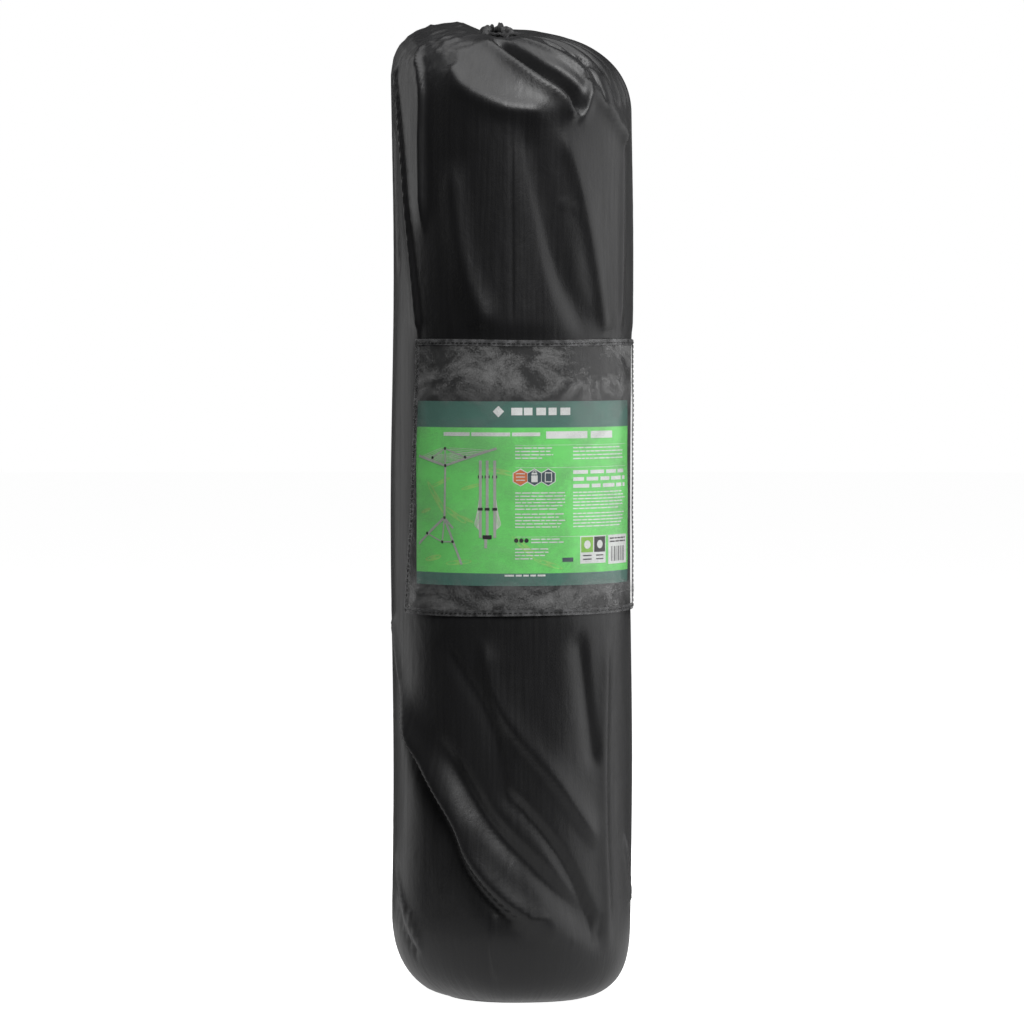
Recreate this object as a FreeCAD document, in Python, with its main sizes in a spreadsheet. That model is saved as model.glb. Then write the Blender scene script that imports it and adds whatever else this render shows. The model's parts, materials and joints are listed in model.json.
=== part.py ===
import FreeCAD, Part
import os
import Sketcher

# Folding rotary clothesline, packed in its drawstring bag. Millimetres, +Z up.
# The origin is the centre of the bag's underside and the label pocket faces -Y.
# Two folded bundles stand side by side in the bag: the stand at -X with its feet down,
# and the drying head at +X, packed upside down with its arm tips down.
# Each bundle is the same umbrella: a hub fixed low on the mast, struts that rise from it to
# the middle of three tubes, and a runner above on which the tubes hang. Each strut is as
# long as the stretch from its bracket to the runner, so the runner stays on the mast.

DOC = FreeCAD.newDocument("RotaryClothesline")

DIMENSIONS = {
    # drying head
    "arm_length": 622, "arm_diameter": 16, "arm_wall": 1, "arm_strut_reach": 247,
    "head_mast_diameter": 22, "head_stub": 85, "arm_open_angle": 68,
    # stand
    "leg_length": 559, "leg_diameter": 16, "leg_wall": 1, "leg_strut_reach": 215,
    "stand_mast_diameter": 25, "spigot_height": 10,
    # shared linkage
    "mast_wall": 1.2, "pin_stand_off": 6.5, "pin_diameter": 3, "pin_play": 0.05,
    "strut_diameter": 6.5, "eye_radius": 4.2, "eye_thickness": 4, "eye_gap": 0.3,
    "cheek_thickness": 3, "neck_start": 6, "bracket_wall": 2, "bracket_length": 22,
    "bracket_rise": 3, "strut_gap": 0.75, "slide_gap": 0.3, "collar_wall": 1.8,
    "hub_below": 16, "hub_above": 6, "flange_thickness": 5, "rivet_head": 1,
    "mast_below_hub": 22, "foot_wall": 2.5, "foot_cover": 30, "tip_wall": 1.5, "tip_cover": 22,
    # washing lines
    "line_diameter": 2.2, "line_gap": 0.7, "line_stand_off": 6, "line_first": 330, "line_step": 126,
    "line_meeting_gap": 1,
    "ear_thickness": 2.2, "ear_height": 8, "ear_root": 5, "post_diameter": 1.2, "line_past": 2,
    "rivet_head_diameter": 4.8, "strut_eye_ease": 0.2, "bore_past": 1,
    # bag
    "tip_clearance": 18, "bundle_gap": 3, "bag_ease": 18.5, "bag_headroom": 75, "bag_wall": 1.2,
    "bag_corner": 44, "dome_rise": 48, "base_thickness": 2.5, "mouth_radius": 17, "hem_width": 7,
    "hem_height": 11, "cord_diameter": 3, "cord_gap": 0.3, "knot_radius": 5,
    # label
    "pocket_low": 325, "pocket_height": 217, "pocket_start": -60, "pocket_sweep": 152,
    "pocket_film": 0.5, "pocket_edge": 5, "card_low": 346, "card_height": 148,
    "card_start": -52, "card_sweep": 126, "card_thickness": 0.4, "card_gap": 0.2,
}
LINE_ROUNDS = 3
SPOKES = 3


def make_sheet():
    """The driving dimensions, one row each, by alias."""
    sheet = DOC.addObject("Spreadsheet::Sheet", "Dims")
    for row, (alias, value) in enumerate(DIMENSIONS.items(), start=1):
        sheet.set(f"A{row}", alias)
        sheet.set(f"B{row}", str(value))
        sheet.setAlias(f"B{row}", alias)
    DOC.recompute()
    return sheet


make_sheet()

# Expressions that several pieces share.
LINE_R = "(Dims.line_diameter / 2)"
PIN_R = "(Dims.pin_diameter / 2)"
STRUT_R = "(Dims.strut_diameter / 2)"
SLOT_HALF = "(Dims.eye_thickness / 2 + Dims.eye_gap)"
CHEEK_HALF = f"({SLOT_HALF} + Dims.cheek_thickness)"
ARM_RUNNER_Z = "(Dims.tip_clearance + Dims.arm_length)"
JOINT_Z = f"({ARM_RUNNER_Z} + Dims.head_stub)"
BAG_Z = f"({JOINT_Z} + Dims.bag_headroom)"
SHOULDER_Z = f"({BAG_Z} - Dims.dome_rise)"


def bundle(kind, tube, mast, side, turn):
    """Shared expressions of one folded bundle; side is the sign of its place along X."""
    mast_r = f"(Dims.{mast}_mast_diameter / 2)"
    tube_r = f"(Dims.{tube}_diameter / 2)"
    offset = f"({STRUT_R} + Dims.strut_gap + Dims.bracket_wall + {tube_r})"
    runner_z = f"(Dims.tip_clearance + Dims.{tube}_length)"
    return {
        "kind": kind, "tube": tube, "side": side, "turn": turn, "mast_r": mast_r,
        "tube_r": tube_r, "pin": f"({mast_r} + Dims.pin_stand_off)", "offset": offset,
        "ring_r": f"({tube_r} + Dims.bracket_wall)", "runner_z": runner_z,
        "bracket_z": f"({runner_z} - Dims.{tube}_strut_reach)",
        "hub_z": f"({runner_z} - 2 * Dims.{tube}_strut_reach)",
        "reach": f"Dims.{tube}_strut_reach", "wall": f"Dims.{tube}_wall",
    }


STAND = bundle("stand", "leg", "stand", -1, 0)
HEAD = bundle("head", "arm", "head", 1, 180)
TUBE_CIRCLE = f"({STAND['pin']} + {STAND['offset']})"
BUNDLE_X = f"({TUBE_CIRCLE} + {STAND['ring_r']} + Dims.bundle_gap)"
BAG_INNER_R = (f"(sqrt(({BUNDLE_X} + {TUBE_CIRCLE} / 2)^2 + 0.75 * {TUBE_CIRCLE}^2)"
               f" + {STAND['ring_r']} + Dims.bag_ease)")
BAG_R = f"({BAG_INNER_R} + Dims.bag_wall)"


def bind(item, **sizes):
    """Tie properties to expressions; x, y and z tie the placement's base."""
    for name, expression in sizes.items():
        path = f".Placement.Base.{name}" if name in "xyz" else name
        item.setExpression(path, str(expression))
    return item


def turned(item, axis, angle=90):
    """Turn a primitive about its own start."""
    item.Placement.Rotation = FreeCAD.Rotation(FreeCAD.Vector(*axis), angle)
    return item


def rod(name, radius, length, x="0", y="0", z="0", along="z"):
    """A round bar that starts at x, y, z and runs along +x, +y or +z."""
    item = DOC.addObject("Part::Cylinder", name)
    if along == "x":
        turned(item, (0, 1, 0))
    if along == "y":
        turned(item, (1, 0, 0), -90)
    return bind(item, Radius=radius, Height=length, x=x, y=y, z=z)


def cross_rod(name, radius, half, x, z):
    """A round bar across the spoke, centred on it."""
    return rod(name, radius, f"2 * {half}", x, f"-({half})", z, "y")


def block(name, length, half_width, height, x, z):
    """A block along the spoke, centred on it."""
    item = DOC.addObject("Part::Box", name)
    return bind(item, Length=length, Width=f"2 * {half_width}", Height=height,
                x=x, y=f"-({half_width})", z=z)


def ball(name, radius, x="0", z="0"):
    """A sphere."""
    return bind(DOC.addObject("Part::Sphere", name), Radius=radius, x=x, z=z)


def fuse(name, *shapes):
    """All the shapes as one solid."""
    item = DOC.addObject("Part::MultiFuse", name)
    item.Shapes = list(shapes)
    item.Refine = True
    return item


def carried(name, shape):
    """A shape in a carrier, so that it can be placed again."""
    item = DOC.addObject("Part::Compound", name)
    item.Links = [shape]
    return item


def cut(name, base, tool):
    """The base with the tool taken away."""
    item = DOC.addObject("Part::Cut", name)
    item.Base = base
    item.Tool = tool
    return item


NODES = []


def node(label, item, spread=None, spoke=0):
    """Name a finished piece, and put it on its spoke of its bundle."""
    item.Label = label
    if spread:
        angle = spread["turn"] + spoke * 360 / SPOKES
        item.Placement = FreeCAD.Placement(
            FreeCAD.Vector(0, 0, 0), FreeCAD.Rotation(FreeCAD.Vector(0, 0, 1), angle))
        bind(item, x=f"{spread['side']} * {BUNDLE_X}")
    NODES.append(item)
    return item


def copies(name, make):
    """The same shape on each of the three spokes, as one fused tool."""
    made = []
    for spoke in range(SPOKES):
        item = carried(f"{name}_turned_{spoke}", make(f"{name}_{spoke}"))
        turned(item, (0, 0, 1), spoke * 360 / SPOKES)
        made.append(item)
    return made


def mast_tube(label, spread, bottom, top):
    """An open round tube on the bundle's axis."""
    outer = rod(f"{label}_outer", spread["mast_r"], f"{top} - {bottom}", z=bottom)
    bore = rod(f"{label}_bore", f"{spread['mast_r']} - Dims.mast_wall",
               f"{top} - {bottom}", z=bottom)
    node(label, cut(f"{label}_tube", outer, bore), spread)


def fixed_hub(label, spread):
    """The collar at the foot of the linkage, with a fork for each strut."""
    pin, hub_z = spread["pin"], spread["hub_z"]
    collar = rod(f"{label}_collar", f"{spread['mast_r']} + Dims.collar_wall + Dims.slide_gap",
                 "Dims.hub_below + Dims.hub_above", z=f"{hub_z} - Dims.hub_below")
    flange = rod(f"{label}_flange", f"{pin} + Dims.eye_radius", "Dims.flange_thickness",
                 z=f"{hub_z} - Dims.eye_radius - Dims.eye_gap - Dims.flange_thickness")

    def cheek(name):
        """One fork before its slot is cut."""
        neck = block(f"{name}_neck", f"Dims.pin_stand_off", CHEEK_HALF,
                     "2 * Dims.eye_radius + Dims.eye_gap", spread["mast_r"],
                     f"{hub_z} - Dims.eye_radius - Dims.eye_gap")
        end = cross_rod(f"{name}_end", "Dims.eye_radius", CHEEK_HALF, pin, hub_z)
        return fuse(f"{name}_both", neck, end)

    def slot(name):
        """Room for the strut's eye, and the rivet's bore."""
        gap = block(f"{name}_gap", "2 * Dims.eye_radius + Dims.pin_stand_off", SLOT_HALF,
                    "3 * Dims.eye_radius", f"{pin} - Dims.eye_radius - Dims.eye_gap",
                    f"{hub_z} - Dims.eye_radius - Dims.eye_gap")
        bore = cross_rod(f"{name}_bore", PIN_R, f"({CHEEK_HALF} + Dims.bore_past)", pin, hub_z)
        return fuse(f"{name}_both", gap, bore)

    body = fuse(f"{label}_body", collar, flange, *copies(f"{label}_cheek", cheek))
    mast = rod(f"{label}_mast", spread["mast_r"], "3 * Dims.hub_below",
               z=f"{hub_z} - 2 * Dims.hub_below")
    tools = fuse(f"{label}_tools", mast, *copies(f"{label}_slot", slot))
    node(label, cut(f"{label}_hub", body, tools), spread)


def rivets(label, spread, height):
    """Three rivets, one across each spoke."""

    def rivet(name):
        """A shank with two heads."""
        shank = cross_rod(f"{name}_shank", PIN_R, f"({CHEEK_HALF} + Dims.rivet_head)",
                          spread["pin"], height)
        heads = []
        for sign, y in ((1, CHEEK_HALF), (-1, f"(-{CHEEK_HALF} - Dims.rivet_head)")):
            heads.append(rod(f"{name}_head_{sign + 1}", "Dims.rivet_head_diameter / 2", "Dims.rivet_head",
                             spread["pin"], y, height, "y"))
        return fuse(f"{name}_both", shank, *heads)

    node(label, fuse(f"{label}_set", *copies(label, rivet)), spread)


def runner(label, spread):
    """The sliding collar, with an eye for each hanging tube."""
    pin, runner_z = spread["pin"], spread["runner_z"]
    inner = f"({spread['mast_r']} + Dims.slide_gap)"
    collar = rod(f"{label}_collar", f"{inner} + Dims.collar_wall", "2 * Dims.hub_below",
                 z=f"{runner_z} - Dims.hub_below")

    def eye(name):
        """A flat eye that stands out from the collar."""
        neck = block(f"{name}_neck", "Dims.pin_stand_off", "Dims.eye_thickness / 2",
                     "2 * Dims.eye_radius", spread["mast_r"], f"{runner_z} - Dims.eye_radius")
        end = cross_rod(f"{name}_end", "Dims.eye_radius", "Dims.eye_thickness / 2", pin, runner_z)
        return fuse(f"{name}_both", neck, end)

    def hole(name):
        """The rivet's bore."""
        return cross_rod(f"{name}_bore", PIN_R, CHEEK_HALF, pin, runner_z)

    body = fuse(f"{label}_body", collar, *copies(f"{label}_eye", eye))
    mast = rod(f"{label}_mast", inner, "3 * Dims.hub_below",
               z=f"{runner_z} - 1.5 * Dims.hub_below")
    tools = fuse(f"{label}_tools", mast, *copies(f"{label}_hole", hole))
    node(label, cut(f"{label}_ring", body, tools), spread)


def strut(label, spread, spoke):
    """A thin bar with an eye at each end."""
    pin, low, high = spread["pin"], spread["hub_z"], spread["bracket_z"]
    bar = rod(f"{label}_bar", STRUT_R, f"{spread['reach']} - 2 * Dims.neck_start",
              pin, z=f"{low} + Dims.neck_start")
    flat = block(f"{label}_flat", f"2 * {STRUT_R}", "Dims.eye_thickness / 2",
                 spread["reach"], f"{pin} - {STRUT_R}", low)
    eyes = [cross_rod(f"{label}_eye_{end}", "Dims.eye_radius - Dims.strut_eye_ease", "Dims.eye_thickness / 2",
                      pin, z) for end, z in enumerate((low, high))]
    bores = [cross_rod(f"{label}_bore_{end}", f"{PIN_R} + Dims.pin_play", CHEEK_HALF,
                       pin, z) for end, z in enumerate((low, high))]
    body = fuse(f"{label}_body", bar, flat, *eyes)
    node(label, cut(f"{label}_strut", body, fuse(f"{label}_bores", *bores)), spread, spoke)


def bracket(label, spread, spoke):
    """Two like fittings on the tube: one holds the strut, one hangs on the runner."""
    pin = spread["pin"]
    middle = f"({pin} + {spread['offset']})"
    made = []
    for place, z in (("middle", spread["bracket_z"]), ("upper", spread["runner_z"])):
        name = f"{label}_{place}"
        ring = rod(f"{name}_ring", spread["ring_r"], "Dims.bracket_length", middle,
                   z=f"{z} + Dims.bracket_rise - Dims.bracket_length")
        neck = block(f"{name}_neck", spread["offset"], CHEEK_HALF,
                     "Dims.eye_radius + Dims.bracket_rise", pin, f"{z} - Dims.eye_radius")
        end = cross_rod(f"{name}_end", "Dims.eye_radius", CHEEK_HALF, pin, z)
        gap = block(f"{name}_gap", f"2 * Dims.eye_radius + Dims.eye_gap", SLOT_HALF,
                    "6 * Dims.eye_radius", f"{pin} - Dims.eye_radius",
                    f"{z} - 3 * Dims.eye_radius")
        play = "Dims.pin_play" if place == "upper" else "0"
        bore = cross_rod(f"{name}_bore", f"{PIN_R} + {play}", f"({CHEEK_HALF} + Dims.bore_past)", pin, z)
        tube = rod(f"{name}_tube", spread["tube_r"], "2 * Dims.bracket_length", middle,
                   z=f"{z} - 1.5 * Dims.bracket_length")
        tools = fuse(f"{name}_tools", gap, bore, tube)
        solid = cut(f"{name}_cut", fuse(f"{name}_body", ring, neck, end), tools)
        made.append(solid)
        if place == "middle":
            made.append(cross_rod(f"{name}_rivet", PIN_R, CHEEK_HALF, pin, z))
    node(label, fuse(f"{label}_pair", *made), spread, spoke)


def hanging_tube(label, spread, spoke, extras=()):
    """A leg or arm: an open tube beside the pin line."""
    middle = f"({spread['pin']} + {spread['offset']})"
    bottom = f"(Dims.tip_clearance + {spread['tube_r']})"
    length = f"({spread['runner_z']} - {bottom})"
    outer = rod(f"{label}_outer", spread["tube_r"], length, middle, z=bottom)
    body = fuse(f"{label}_body", outer, *extras) if extras else outer
    bore = rod(f"{label}_bore", f"{spread['tube_r']} - {spread['wall']}", length,
               middle, z=bottom)
    node(label, cut(f"{label}_tube", body, bore), spread, spoke)


def end_cap(label, spread, spoke, wall, cover):
    """A round-ended cap over the tube's lower end."""
    middle = f"({spread['pin']} + {spread['offset']})"
    radius = f"({spread['tube_r']} + {wall})"
    centre = f"(Dims.tip_clearance + {radius})"
    sleeve = rod(f"{label}_sleeve", radius, cover, middle, z=centre)
    end = ball(f"{label}_end", radius, middle, centre)
    room = rod(f"{label}_room", spread["tube_r"], f"2 * {cover}", middle,
               z=f"Dims.tip_clearance + {spread['tube_r']}")
    node(label, cut(f"{label}_cap", fuse(f"{label}_body", sleeve, end), room), spread, spoke)


# Directions of the washing lines beside an arm. The sheet of lines between two arms is a
# plane; lean is how far it leans from the arm's side when the arms are folded together.
FOLD_SINE = "sqrt(1 - 0.75 * sin(Dims.arm_open_angle)^2)"
ACROSS = f"(0.5 / {FOLD_SINE})"
INWARD = f"(sqrt(0.75) * cos(Dims.arm_open_angle) / {FOLD_SINE})"
LINE_OUT = f"({HEAD['tube_r']} + Dims.line_stand_off)"


def line_place(round_index, side):
    """Radial and sideways place, height and length of one half line.

    The two halves that meet between two arms lie one pitch apart, so they pass each other."""
    rank = 2 * round_index + (0 if side > 0 else 1)
    pitch = f"({rank} * (Dims.line_diameter + Dims.line_gap))"
    along = f"(Dims.line_first + {round_index} * Dims.line_step)"
    middle = f"({HEAD['pin']} + {HEAD['offset']})"
    radial = f"({middle} - {LINE_OUT} * {INWARD} + {pitch} * {ACROSS})"
    sideways = f"({LINE_OUT} * {ACROSS} + {pitch} * {INWARD})"
    open_radius = (f"({HEAD['pin']} + {along} * sin(Dims.arm_open_angle)"
                   f" + ({radial} - {HEAD['pin']}) * cos(Dims.arm_open_angle))")
    length = f"(sqrt(0.75) * {open_radius} - 0.5 * {sideways} - Dims.line_meeting_gap)"
    return {"pitch": pitch, "radial": radial, "sideways": sideways,
            "z": f"({HEAD['runner_z']} - {along})", "length": length}


def across_line(item, side):
    """Turn a primitive's X along the sheet of lines, on one side of the arm."""
    item.Placement.Rotation = FreeCAD.Rotation(FreeCAD.Vector(0, 0, 1), 1)
    item.setExpression(".Placement.Rotation.Angle", f"{side} * (90 deg + atan({INWARD} / {ACROSS}))")
    return item


def line_post(name, place, side, radius, length):
    """A round post through the end of a half line, along its hinge."""
    post = rod(f"{name}_bar", radius, length, along="y")
    lifted = across_line(carried(f"{name}_lifted", post), side)
    start = "(-Dims.line_diameter / 2 - 2 * Dims.line_gap)"
    if side > 0:
        start = f"(-{start} - {length})"
    # The post's own Y runs inwards on the +Y side of the arm and outwards on the other.
    post.setExpression(".Placement.Base.y", start)
    return bind(lifted, x=place["radial"], y=f"{side} * {place['sideways']}", z=place["z"])


def line_ears(label):
    """The ears on one arm that carry its six half lines."""
    made = []
    for round_index in range(LINE_ROUNDS):
        for side in (1, -1):
            place = line_place(round_index, side)
            name = f"{label}_ear_{round_index}_{side + 1}"
            plate = DOC.addObject("Part::Box", name)
            low = f"({place['pitch']} - {LINE_R} - Dims.line_gap / 3 - Dims.ear_thickness)"
            start = low if side < 0 else f"(-({low}) - Dims.ear_thickness)"
            bind(plate, Length=f"{LINE_OUT} + 2 * {LINE_R}", Width="Dims.ear_thickness",
                 Height="Dims.ear_height", y=start)
            plates = [plate]
            if round_index > 0:
                # An outer ear stands clear of the tube, so a root carries it.
                root = DOC.addObject("Part::Box", f"{name}_root")
                reach = f"({low} + Dims.ear_thickness)"
                bind(root, Length="Dims.ear_root", Width=reach, Height="Dims.ear_height",
                     y="0" if side < 0 else f"-{reach}")
                plates.append(root)
            solid = fuse(f"{name}_plates", *plates) if len(plates) > 1 else plate
            lifted = across_line(carried(f"{name}_lifted", solid), side)
            bind(lifted, x=f"{HEAD['pin']} + {HEAD['offset']}",
                 z=f"{place['z']} - Dims.ear_height / 2")
            post_length = f"({LINE_R} * 2 + 2 * Dims.line_gap)"
            post = line_post(f"{name}_post", place, side, "Dims.post_diameter / 2", post_length)
            made += [lifted, post]
    return made


def half_line(label, spoke, round_index, side):
    """Half a washing line, folded up beside its arm."""
    place = line_place(round_index, side)
    bar = rod(f"{label}_bar", LINE_R, f"{place['length']} + Dims.line_past", place["radial"],
              f"{side} * {place['sideways']}", f"{place['z']} - Dims.line_past")
    hole = line_post(f"{label}_hole", place, side, "Dims.post_diameter / 2 + Dims.pin_play",
                     "4 * Dims.line_diameter")
    node(label, cut(f"{label}_line", bar, hole), HEAD, spoke)


def bag_side():
    """The bag's side as a turned sheet, from the base's edge to the mouth."""
    body = DOC.addObject("PartDesign::Body", "bag_side")
    sketch = body.newObject("Sketcher::SketchObject", "side_profile")
    planes = {plane.Role: plane for plane in body.Origin.OriginFeatures}
    sketch.AttachmentSupport = (planes["XZ_Plane"], [""])
    sketch.MapMode = "FlatFace"
    base_r = f"({BAG_R} - Dims.bag_corner)"
    crown_r = f"({BAG_R} - Dims.dome_rise)"
    inner_r = f"({BAG_R} - Dims.bag_wall)"
    under = f"({BAG_Z} - Dims.bag_wall)"
    lower_arc, upper_arc = "Dims.bag_corner", "Dims.dome_rise"
    # Each corner of the profile, and the radius of the arc that leads on from it, if any.
    outline = [
        (base_r, "0 * Dims.bag_wall", lower_arc), (BAG_R, "Dims.bag_corner", None),
        (BAG_R, SHOULDER_Z, upper_arc), (crown_r, BAG_Z, None),
        ("Dims.mouth_radius", BAG_Z, None), ("Dims.mouth_radius", under, None),
        (crown_r, under, f"-({upper_arc} - Dims.bag_wall)"), (inner_r, SHOULDER_Z, None),
        (inner_r, "Dims.bag_corner", f"-({lower_arc} - Dims.bag_wall)"),
        (base_r, "Dims.bag_wall", None),
    ]
    probe = DOC.getObject("Dims")
    spots = [FreeCAD.Vector(float(probe.evalExpression(x)), float(probe.evalExpression(z)), 0)
             for x, z, bend in outline]
    for index, (x, z, bend) in enumerate(outline):
        start, end = spots[index], spots[(index + 1) % len(spots)]
        if bend is None:
            sketch.addGeometry(Part.LineSegment(start, end))
            continue
        radius = float(probe.evalExpression(bend))
        swell = FreeCAD.Vector(end.y - start.y, start.x - end.x, 0).normalize()
        middle = (start + end) / 2 + swell * radius * (1 - 0.5 ** 0.5)
        # The sketcher wants its arcs anticlockwise, so the inner ones run backwards.
        ends = (start, end) if radius > 0 else (end, start)
        sketch.addGeometry(Part.Arc(ends[0], middle, ends[1]))
    firsts = []
    for index, (x, z, bend) in enumerate(outline):
        arc = sketch.Geometry[index].TypeId == "Part::GeomArcOfCircle"
        first = 1
        if arc and (sketch.Geometry[index].StartPoint - spots[index]).Length > 0.01:
            first = 2
        firsts.append(first)
        for kind, expression in (("DistanceX", x), ("DistanceY", z)):
            value = float(probe.evalExpression(expression))
            number = sketch.addConstraint(
                Sketcher.Constraint(kind, -1, 1, index, first, value))
            sketch.setExpression(f"Constraints[{number}]", expression)
        if arc:
            number = sketch.addConstraint(Sketcher.Constraint(
                "Radius", index, abs(float(probe.evalExpression(bend)))))
            sketch.setExpression(f"Constraints[{number}]", bend.lstrip("-"))
    for index in range(len(outline)):
        following = (index + 1) % len(outline)
        sketch.addConstraint(Sketcher.Constraint(
            "Coincident", index, 3 - firsts[index], following, firsts[following]))
    turn = body.newObject("PartDesign::Revolution", "side_turned")
    turn.Profile = sketch
    turn.ReferenceAxis = (sketch, ["V_Axis"])
    turn.Angle = 360
    body.Tip = turn
    return body


def bag():
    """Round base, side with its gathered top, hem and drawcord."""
    base_r = f"({BAG_R} - Dims.bag_corner)"
    node("bag_base", rod("base_disc", base_r, "Dims.base_thickness"))
    node("bag_body", bag_side())

    hem_z = f"({BAG_Z} - Dims.hem_height)"
    cord_circle = "(Dims.mouth_radius - Dims.hem_width / 2)"
    cord_z = f"({hem_z} + Dims.hem_height / 2)"
    knot_x = "(-Dims.knot_radius / 2)"

    def cord(name, radius):
        """The cord's loop in the hem and its tail to the knot."""
        loop = DOC.addObject("Part::Torus", f"{name}_loop")
        bind(loop, Radius1=cord_circle, Radius2=radius, z=cord_z)
        tail = rod(f"{name}_tail", radius, cord_circle, x=f"-{cord_circle}", z=cord_z, along="x")
        return [loop, tail]

    ring = rod("hem_ring", "Dims.mouth_radius", "Dims.hem_height", z=hem_z)
    inner = rod("hem_inner", "Dims.mouth_radius - Dims.hem_width", "Dims.hem_height", z=hem_z)
    channel = cord("hem_channel", "(Dims.cord_diameter / 2 + Dims.cord_gap)")
    node("mouth_hem", cut("hem", ring, fuse("hem_tools", inner, *channel)))
    knot = ball("cord_knot", "Dims.knot_radius", knot_x, cord_z)
    node("drawcord", fuse("cord", knot, *cord("cord_run", "(Dims.cord_diameter / 2)")))


def wrapped(name, inner, thickness, low, height, start, sweep):
    """A sheet wrapped round the bag; angles run from -Y towards +X."""
    outer = rod(f"{name}_outer", f"{inner} + {thickness}", height, z=low)
    hollow = rod(f"{name}_hollow", inner, height, z=low)
    for item in (outer, hollow):
        item.setExpression("Angle", sweep)
    sheet = cut(f"{name}_sheet", outer, hollow)
    sheet.Placement.Rotation = FreeCAD.Rotation(FreeCAD.Vector(0, 0, 1), 1)
    sheet.setExpression(".Placement.Rotation.Angle", f"{start} - 90")
    return sheet


def label():
    """Clear pocket, open at the top, and the card inside it."""
    room = "(Dims.card_thickness + 2 * Dims.card_gap)"
    pocket = wrapped("pocket_full", BAG_R, f"({room} + Dims.pocket_film)", "Dims.pocket_low",
                     "Dims.pocket_height", "Dims.pocket_start", "Dims.pocket_sweep")
    inset = f"(Dims.pocket_edge / {BAG_R} * 180 / pi)"
    space = wrapped("pocket_space", BAG_R, room, "Dims.pocket_low + Dims.pocket_edge",
                    "Dims.pocket_height", f"Dims.pocket_start + {inset}",
                    f"Dims.pocket_sweep - 2 * {inset}")
    node("label_pocket", cut("pocket", pocket, space))
    card = wrapped("card_full", f"({BAG_R} + Dims.card_gap)", "Dims.card_thickness",
                   "Dims.card_low", "Dims.card_height", "Dims.card_start", "Dims.card_sweep")
    node("label_card", card)


def stand():
    """Mast, hub, runner and three legs, feet down."""
    mast_tube("stand_mast", STAND, f"({STAND['hub_z']} - Dims.mast_below_hub)",
              f"({JOINT_Z} - Dims.slide_gap)")
    inner = f"({STAND['mast_r']} - Dims.mast_wall)"
    bore = f"({HEAD['mast_r']} - Dims.mast_wall)"
    plug = rod("spigot_plug", inner, "2 * Dims.spigot_height",
               z=f"{JOINT_Z} - 2 * Dims.spigot_height - Dims.slide_gap")
    cone = DOC.addObject("Part::Cone", "spigot_cone")
    bind(cone, Radius1=f"{bore} - 3 * Dims.slide_gap", Radius2=f"{bore} - 10 * Dims.slide_gap",
         Height="Dims.spigot_height", z=f"{JOINT_Z} - Dims.slide_gap")
    node("mast_spigot", fuse("spigot", plug, cone), STAND)
    fixed_hub("stand_hub", STAND)
    rivets("stand_hub_rivets", STAND, STAND["hub_z"])
    runner("leg_runner", STAND)
    rivets("leg_runner_rivets", STAND, STAND["runner_z"])
    for spoke in range(SPOKES):
        number = spoke + 1
        hanging_tube(f"leg_{number}", STAND, spoke)
        bracket(f"leg_brackets_{number}", STAND, spoke)
        end_cap(f"foot_{number}", STAND, spoke, "Dims.foot_wall", "Dims.foot_cover")
        strut(f"leg_strut_{number}", STAND, spoke)


def head():
    """Mast, hub, runner, three arms and their lines, packed upside down."""
    mast_tube("head_mast", HEAD, f"({HEAD['hub_z']} - Dims.mast_below_hub)", JOINT_Z)
    inner = f"({HEAD['mast_r']} - Dims.mast_wall)"
    cap_z = f"({HEAD['hub_z']} - Dims.mast_below_hub)"
    cap = rod("cap_disc", HEAD["mast_r"], "Dims.rivet_head * 2", z=f"{cap_z} - 2 * Dims.rivet_head")
    stem = rod("cap_stem", inner, "Dims.hub_below", z=cap_z)
    node("mast_cap", fuse("mast_cap_piece", cap, stem), HEAD)
    fixed_hub("top_hub", HEAD)
    rivets("top_hub_rivets", HEAD, HEAD["hub_z"])
    runner("arm_runner", HEAD)
    rivets("arm_runner_rivets", HEAD, HEAD["runner_z"])
    for spoke in range(SPOKES):
        number = spoke + 1
        hanging_tube(f"arm_{number}", HEAD, spoke, line_ears(f"arm_{number}"))
        bracket(f"arm_brackets_{number}", HEAD, spoke)
        end_cap(f"arm_tip_{number}", HEAD, spoke, "Dims.tip_wall", "Dims.tip_cover")
        strut(f"arm_strut_{number}", HEAD, spoke)
        for round_index in range(LINE_ROUNDS):
            for side, word in ((1, "left"), (-1, "right")):
                half_line(f"line_{number}_{round_index + 1}_{word}", spoke, round_index, side)


def export():
    """Check every object and write one file for each piece."""
    DOC.recompute()
    for item in DOC.Objects:
        if "Invalid" in item.State or "Error" in item.State:
            raise RuntimeError(f"{item.Name} failed: {item.State}")
    os.makedirs("parts", exist_ok=True)
    for item in NODES:
        shape = item.Shape
        if shape.isNull() or not shape.isValid() or not shape.Solids:
            raise RuntimeError(f"{item.Label} has no valid solid")
        shape.exportStep(f"parts/{item.Label}.step")
        box = shape.BoundBox
        print(f"{item.Label:22s} solids {len(shape.Solids)} volume {shape.Volume:10.0f}"
              f" z {box.ZMin:7.2f} {box.ZMax:7.2f} x {box.XMin:7.2f} {box.XMax:7.2f}")
    print(len(NODES), "pieces")


bag()
label()
stand()
head()
export()
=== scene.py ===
"""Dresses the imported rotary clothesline: its drawstring bag, its label pocket and its fittings."""

import json
import math

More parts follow.
